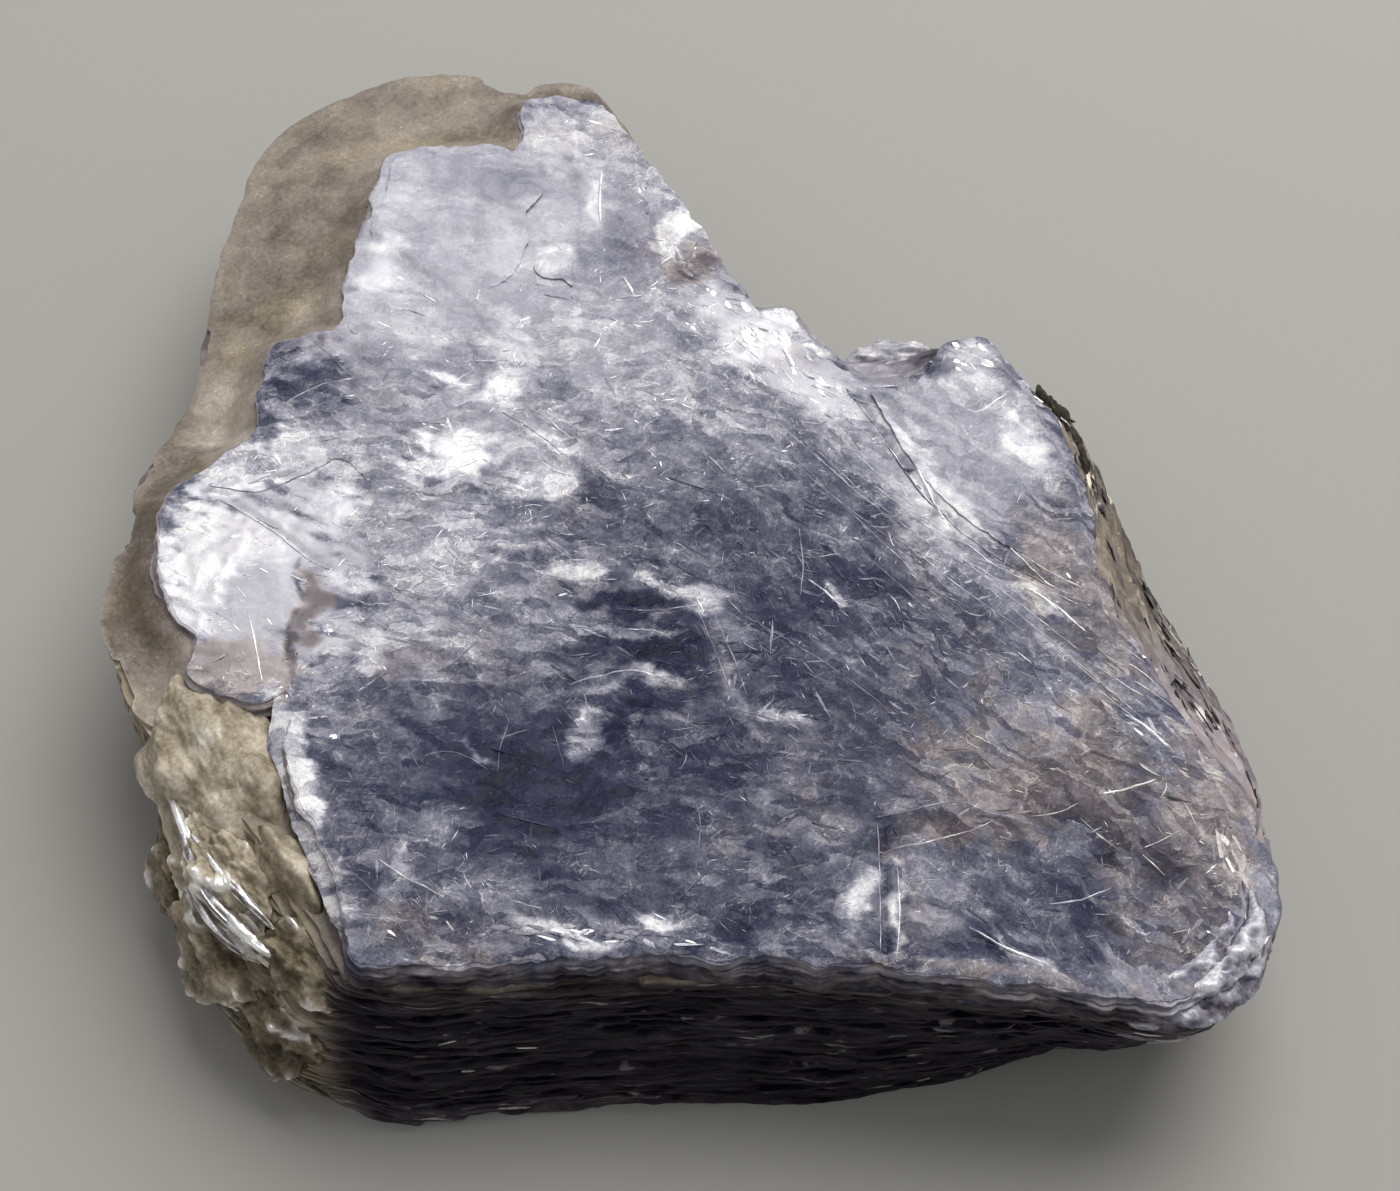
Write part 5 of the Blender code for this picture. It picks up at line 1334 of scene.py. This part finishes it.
class Shading:
    """A material whose nodes are added one call at a time."""

    def __init__(self, kind):
        self.kind = kind
        self.material = bpy.data.materials.new("mica_" + kind)
        self.material.use_nodes = True
        self.tree = self.material.node_tree
        self.shader = self.tree.nodes["Principled BSDF"]

    def node(self, kind, inputs, output=0, **settings):
        made = self.tree.nodes.new("ShaderNode" + kind)
        for key, value in settings.items():
            setattr(made, key, value)
        for key, value in inputs.items():
            self.put(made.inputs[key], value)
        return made.outputs[output]

    def put(self, socket, value):
        if isinstance(value, bpy.types.NodeSocket):
            self.tree.links.new(value, socket)
        else:
            socket.default_value = value

    def math(self, operation, *values):
        return self.node("Math", dict(enumerate(values)), operation=operation)

    def times(self, first, second):
        return self.math("MULTIPLY", first, second)

    def vector(self, operation, *values):
        return self.node("VectorMath", dict(enumerate(values)), operation=operation)

    def scaled(self, vector, scale):
        if isinstance(scale, tuple):
            return self.vector("MULTIPLY", vector, scale)
        return self.node("VectorMath", {0: vector, "Scale": scale}, operation="SCALE")

    def painted(self, name):
        return self.node("Attribute", {}, "Fac", attribute_name=name)

    def place(self):
        """Where a point is on the crystal, in millimetres."""
        return self.scaled(self.node("TexCoord", {}, "Object"), 1000)

    def noise(self, vector, scale, detail=6, roughness=0.6, distortion=0.0, output="Fac"):
        inputs = {"Vector": vector, "Scale": scale, "Detail": detail, "Roughness": roughness,
                  "Distortion": distortion}
        return self.node("TexNoise", inputs, output)

    def warped(self, vector, scale, amount):
        """A vector pushed about by noise."""
        push = self.vector("SUBTRACT", self.noise(vector, scale, 2, output="Color"), (0.5, 0.5, 0.5))
        return self.vector("ADD", vector, self.scaled(push, amount))

    def remapped(self, value, low, high, to_low=0.0, to_high=1.0, smooth=True):
        inputs = {"Value": value, "From Min": low, "From Max": high, "To Min": to_low, "To Max": to_high}
        kind = "SMOOTHSTEP" if smooth else "LINEAR"
        return self.node("MapRange", inputs, interpolation_type=kind)

    def added(self, start, terms):
        """A value with (value, weight) terms added, each counted from its middle, a half."""
        for value, weight in terms:
            start = self.math("ADD", start, self.times(self.math("SUBTRACT", value, 0.5), weight))
        return start

    def mixed(self, share, first, second):
        return self.node("Mix", {0: share, 6: first, 7: second}, 2, data_type="RGBA")

    def ramp(self, value, stops):
        made = self.tree.nodes.new("ShaderNodeValToRGB")
        elements = made.color_ramp.elements
        elements[0].position, elements[-1].position = stops[0][0], stops[-1][0]
        for position, _ in stops[1:-1]:
            elements.new(position)
        for element, (_, colour) in zip(elements, stops):
            element.color = linear(*colour)
        self.put(made.inputs["Fac"], value)
        return made.outputs["Color"]

    def fibres(self, place, size, along, across, middle, spread):
        """Fine bright fibres that run another way in each flake, and a value for the flake."""
        inputs = {"Vector": place, "Scale": 1 / size}
        cell = self.node("TexVoronoi", inputs, "Position", voronoi_dimensions="2D")
        own = self.node("TexWhiteNoise", {"Vector": cell}, "Value", noise_dimensions="3D")
        turn = self.math("MULTIPLY_ADD", own, math.radians(spread), math.radians(middle - spread / 2))
        inputs = {"Vector": place, "Center": cell, "Angle": turn}
        aligned = self.node("VectorRotate", inputs, rotation_type="Z_AXIS")
        stretched = self.scaled(aligned, (1 / along, 1 / across, 1 / across))
        level = self.math("MULTIPLY_ADD", self.noise(stretched, 1.0, 4, 0.55, 0.4), 2.0, -1.0)
        level = self.math("SUBTRACT", 1.0, self.math("ABSOLUTE", level))
        return self.math("POWER", level, FIBRE_SHARPNESS), own

    def shards(self, place, size, stretch, turn):
        """Crisp-edged shards that run one way: a value for each, and bright lines where some of them meet."""
        inputs = {"Vector": place, "Angle": math.radians(-turn)}
        aligned = self.node("VectorRotate", inputs, rotation_type="Z_AXIS")
        flat = self.scaled(aligned, (1 / (size * stretch), 1 / size, 1 / size))
        inputs = {"Vector": flat, "Scale": 1.0}
        cell = self.node("TexVoronoi", inputs, "Color", voronoi_dimensions="2D")
        gap = self.node("TexVoronoi", inputs, "Distance", voronoi_dimensions="2D", feature="DISTANCE_TO_EDGE")
        own, other = (self.node("SeparateColor", {0: cell}, channel) for channel in (0, 1))
        rim = self.times(self.remapped(gap, 0.09, 0.0), self.remapped(other, 0.45, 0.9))
        return own, rim

    def either(self, share, first, second):
        """The first value where share is 0, and the second where it is 1."""
        return self.math("MULTIPLY_ADD", share, self.math("SUBTRACT", second, first), first)

    def finish(self, colour, rougher, metallic, height, silver=None, sleeker=0.0):
        """Sets the surface. rougher changes its roughness, and so does silver, by the amount sleeker."""
        roughness = ROUGHNESS[self.kind]
        if silver:
            roughness = self.math("MULTIPLY_ADD", silver, sleeker, roughness)
        roughness = self.added(roughness, rougher)
        bump = self.node("Bump", {"Height": height, "Strength": 1.0, "Distance": BUMPS[self.kind] * MM})
        inputs = {"Base Color": colour, "Roughness": roughness, "Metallic": metallic, "Normal": bump,
                  "Specular IOR Level": SPECULAR}
        for key, value in inputs.items():
            self.put(self.shader.inputs[key], value)
        return self.material


def face_material():
    """The upper face: navy seen deep down, under lilac mist, streaky flakes and fine bright hairs."""
    s = Shading("face")
    place = s.place()
    drifting = s.warped(place, 0.3, 2.4)
    curly = s.warped(drifting, 1.3, 0.7)
    tone, warm, silver, wisp, slant = map(s.painted, ("tone", "warm", "silver", "wisp", "slant"))
    ragged = s.warped(drifting, 2.4, 0.45)
    cloud = s.noise(curly, 0.32, 6, 0.58, 0.4)
    mist = s.noise(place, 1.1, 5, 0.62, 0.3)
    level_big, level_rim = s.shards(ragged, 2.6, 2.2, -5)
    slant_big, slant_rim = s.shards(ragged, 2.3, 2.6, -36)
    level_small, level_line = s.shards(ragged, 0.62, 2.6, -8)
    slant_small, slant_line = s.shards(ragged, 0.55, 3.2, -38)
    big = s.either(slant, level_big, slant_big)
    small = s.either(slant, level_small, slant_small)
    rims = s.either(slant, level_rim, slant_rim)
    hairline = s.either(slant, level_line, slant_line)
    broad, broad_own = s.fibres(curly, 5.0, 2.6, 0.30, -30, 80)
    fine, fine_own = s.fibres(curly, 2.2, 1.1, 0.16, -25, 130)
    grain = s.noise(place, 4.2, 5, 0.75)
    here = s.remapped(s.noise(place, 0.6, 5, 0.65), 0.44, 0.64)
    there = s.remapped(s.noise(s.scaled(place, (-1, 1, 1)), 0.8, 5, 0.65), 0.44, 0.64)
    woven = s.times(broad, s.times(here, 0.24))
    spun = s.times(fine, s.times(there, 0.24))
    edged = s.times(rims, s.math("MULTIPLY_ADD", there, 0.16, 0.04))
    lined = s.times(hairline, s.math("MULTIPLY_ADD", here, 0.24, 0.05))
    lines = s.math("ADD", s.math("ADD", woven, spun), s.math("ADD", edged, lined))
    streaks = s.added(s.math("SUBTRACT", lines, 0.03), [(big, 0.12), (small, 0.22)])
    streaks = s.times(streaks, s.math("MULTIPLY_ADD", wisp, 0.95, 0.10))
    clouds = s.added(0.0, [(cloud, 0.34), (mist, 0.38), (grain, 0.5), (broad_own, 0.08), (fine_own, 0.05)])
    detail = s.math("MULTIPLY_ADD", clouds, s.math("MULTIPLY_ADD", wisp, 0.75, 0.28), streaks)
    level = s.math("ADD", tone, detail)
    stain = s.times(s.remapped(s.added(warm, [(cloud, 1.6)]), 0.2, 0.9), 0.85)
    faint = s.remapped(s.noise(place, 0.12, 4), 0.5, 0.75, 0.0, 0.5)
    faint = s.times(faint, s.remapped(level, 0.25, 0.5))
    stain = s.math("MAXIMUM", stain, faint)
    colour = s.mixed(stain, s.ramp(level, COOL), s.ramp(level, MAUVE))
    return s.finish(colour, [(mist, 0.5)], s.times(silver, 0.3), detail, silver, -0.15)


def glint_material():
    """Slivers, shards, hairs and small flakes: bare, bright sheet edges."""
    s = Shading("glint")
    grain = s.noise(s.place(), 4.0, 3)
    level = s.added(s.painted("tone"), [(grain, 0.4)])
    colour = s.mixed(s.painted("warm"), s.ramp(level, COOL), s.ramp(level, WARM))
    return s.finish(colour, [(grain, 0.3)], s.times(s.painted("silver"), 0.5), grain)


def fringe_material():
    """The bare brown fringe: smooth, cloudy and finely speckled, with a painted sparkle of tiny lighter specks
    for glints.
    """
    s = Shading("fringe")
    place = s.place()
    drifting = s.warped(place, 0.4, 2.0)
    cloud = s.noise(drifting, 0.35, 6, 0.6)
    speck = s.noise(place, 3.2, 5, 0.7)
    own, rim = s.shards(s.warped(drifting, 2.0, 0.5), 1.3, 2.0, 62)
    # Painted sparkle: tiny specks painted lighter, standing in for glints.
    painted_sparkle = s.remapped(s.noise(place, 5.0, 3), 0.60, 0.72)
    painted_sparkle = s.times(painted_sparkle, s.remapped(cloud, 0.4, 0.6))
    level = s.added(s.painted("tone"), [(cloud, 0.42), (speck, 0.34), (own, 0.05)])
    level = s.math("ADD", level, s.math("MULTIPLY_ADD", rim, 0.02, s.times(painted_sparkle, 0.2)))
    rosy = s.remapped(s.noise(place, 0.15, 3), 0.25, 0.55)
    colour = s.mixed(rosy, s.ramp(level, BUFF), s.ramp(level, WARM))
    return s.finish(colour, [(speck, 0.4)], 0.0, s.added(cloud, [(speck, 0.6), (own, 0.3)]))


def edge_material():
    """The sides of the book: dark, finely striated sheet edges, with glints painted into the colour where a
    sheet's face shows.
    """
    s = Shading("edge")
    place = s.place()
    swaying = s.warped(place, 0.15, 1.2)
    striae = s.noise(s.scaled(swaying, (0.25, 0.25, 5.0)), 1.0, 6, 0.65)
    shard = s.node("TexVoronoi", {"Vector": s.scaled(swaying, (0.5, 0.5, 4.5)), "Scale": 1.0}, "Color")
    own = s.node("SeparateColor", {0: shard}, 0)
    # Painted glints: a few shards are painted lighter, as highlights where a sheet's face catches the light.
    glint = s.times(s.remapped(own, 0.9, 0.95), s.remapped(s.noise(place, 0.5), 0.48, 0.6))
    level = s.added(s.painted("tone"), [(striae, 1.0), (own, 0.12)])
    level = s.math("MULTIPLY_ADD", glint, 0.35, level)
    brown = s.mixed(s.painted("buff"), s.ramp(level, MAUVE), s.ramp(level, BUFF))
    colour = s.mixed(s.painted("warm"), s.ramp(level, COOL), brown)
    metallic = s.times(s.painted("silver"), 0.5)
    return s.finish(colour, [(striae, 0.5)], metallic, s.added(striae, [(own, 0.4)]))


def crust_material():
    """The lumps and crumpled ridges: buff crust, with silver where the crumples stand out, painted lighter
    there as a highlight.
    """
    s = Shading("crust")
    place = s.place()
    cloud = s.noise(s.warped(place, 0.4, 1.5), 0.6, 6, 0.6)
    speck = s.noise(place, 3.5, 5, 0.7)
    silver = s.painted("silver")
    # Where the crumples stand out the colour is painted lighter: a painted highlight.
    level = s.added(s.painted("tone"), [(cloud, 0.5), (speck, 0.55), (silver, 0.3)])
    warm = s.times(s.painted("warm"), s.math("MULTIPLY_ADD", silver, -0.5, 1.0))
    colour = s.mixed(warm, s.ramp(level, COOL), s.ramp(level, BUFF))
    height = s.added(cloud, [(speck, 0.6)])
    return s.finish(colour, [(speck, 0.4)], s.times(silver, 0.6), height, silver, -0.25)


# --- Floor, light and camera ---

TABLE_SIZE = 3.0
TABLE_COLOUR = (170, 169, 164)
WINDOW = {"shape": "DISK", "size": 0.46, "energy": 2.3, "color": (1.0, 0.985, 0.96)}
WINDOW_PLACE = Vector((0.13, 0.21, 0.42))
ROOM = {"Color": (0.97, 0.98, 1.0, 1), "Strength": 0.37}
CAMERA_TARGET = Vector((1.55, -4.41, 8.0)) * MM
CAMERA_ELEVATION = math.radians(55)
CAMERA_DISTANCE = 200 * MM
CAMERA_LENS = 80


def add_stage():
    """A plain pale table top."""
    bpy.ops.mesh.primitive_plane_add(size=TABLE_SIZE, location=(0, 0, 0))
    floor = bpy.context.object
    floor.name = "table_top"
    material = bpy.data.materials.new("table_top")
    material.use_nodes = True
    shader = material.node_tree.nodes["Principled BSDF"]
    shader.inputs["Base Color"].default_value = linear(*TABLE_COLOUR)
    shader.inputs["Roughness"].default_value = 0.9
    shader.inputs["Specular IOR Level"].default_value = 0.1
    floor.data.materials.append(material)


def add_lights():
    """One soft window above the crystal, to its back right, and the light of the room."""
    data = bpy.data.lights.new("window", "AREA")
    for key, value in WINDOW.items():
        setattr(data, key, value)
    light = bpy.data.objects.new("window", data)
    bpy.context.scene.collection.objects.link(light)
    light.location = WINDOW_PLACE
    light.rotation_euler = (-WINDOW_PLACE).to_track_quat("-Z", "Y").to_euler()
    world = bpy.data.worlds.new("room")
    world.use_nodes = True
    for key, value in ROOM.items():
        world.node_tree.nodes["Background"].inputs[key].default_value = value
    bpy.context.scene.world = world


def add_camera():
    """The camera that matches the photo, looking down at the crystal's front."""
    back = Vector((0, -math.cos(CAMERA_ELEVATION), math.sin(CAMERA_ELEVATION)))
    data = bpy.data.cameras.new("camera")
    data.lens = CAMERA_LENS
    data.clip_start = 0.001
    camera = bpy.data.objects.new("camera", data)
    bpy.context.scene.collection.objects.link(camera)
    camera.location = CAMERA_TARGET + back * CAMERA_DISTANCE
    camera.rotation_euler = back.to_track_quat("Z", "Y").to_euler()
    bpy.context.scene.camera = camera


def main():
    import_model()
    bpy.context.scene.view_settings.view_transform = "Standard"
    add_stage()
    add_lights()
    add_camera()
    materials = {"face": face_material(), "fringe": fringe_material(), "edge": edge_material(),
                 "crust": crust_material(), "glint": glint_material()}
    wall = Wall()
    add_book(wall, materials)
    add_plate(materials)
    for name in SHEETS:
        add_sheet(name, materials)
    for name in LUMPS:
        add_lump(name, materials)
    for name in RIDGES:
        add_ridge(name, materials)
    add_hairs(materials)
    add_slivers(materials)
    add_shards(materials)
    add_flakes(wall, materials)


main()
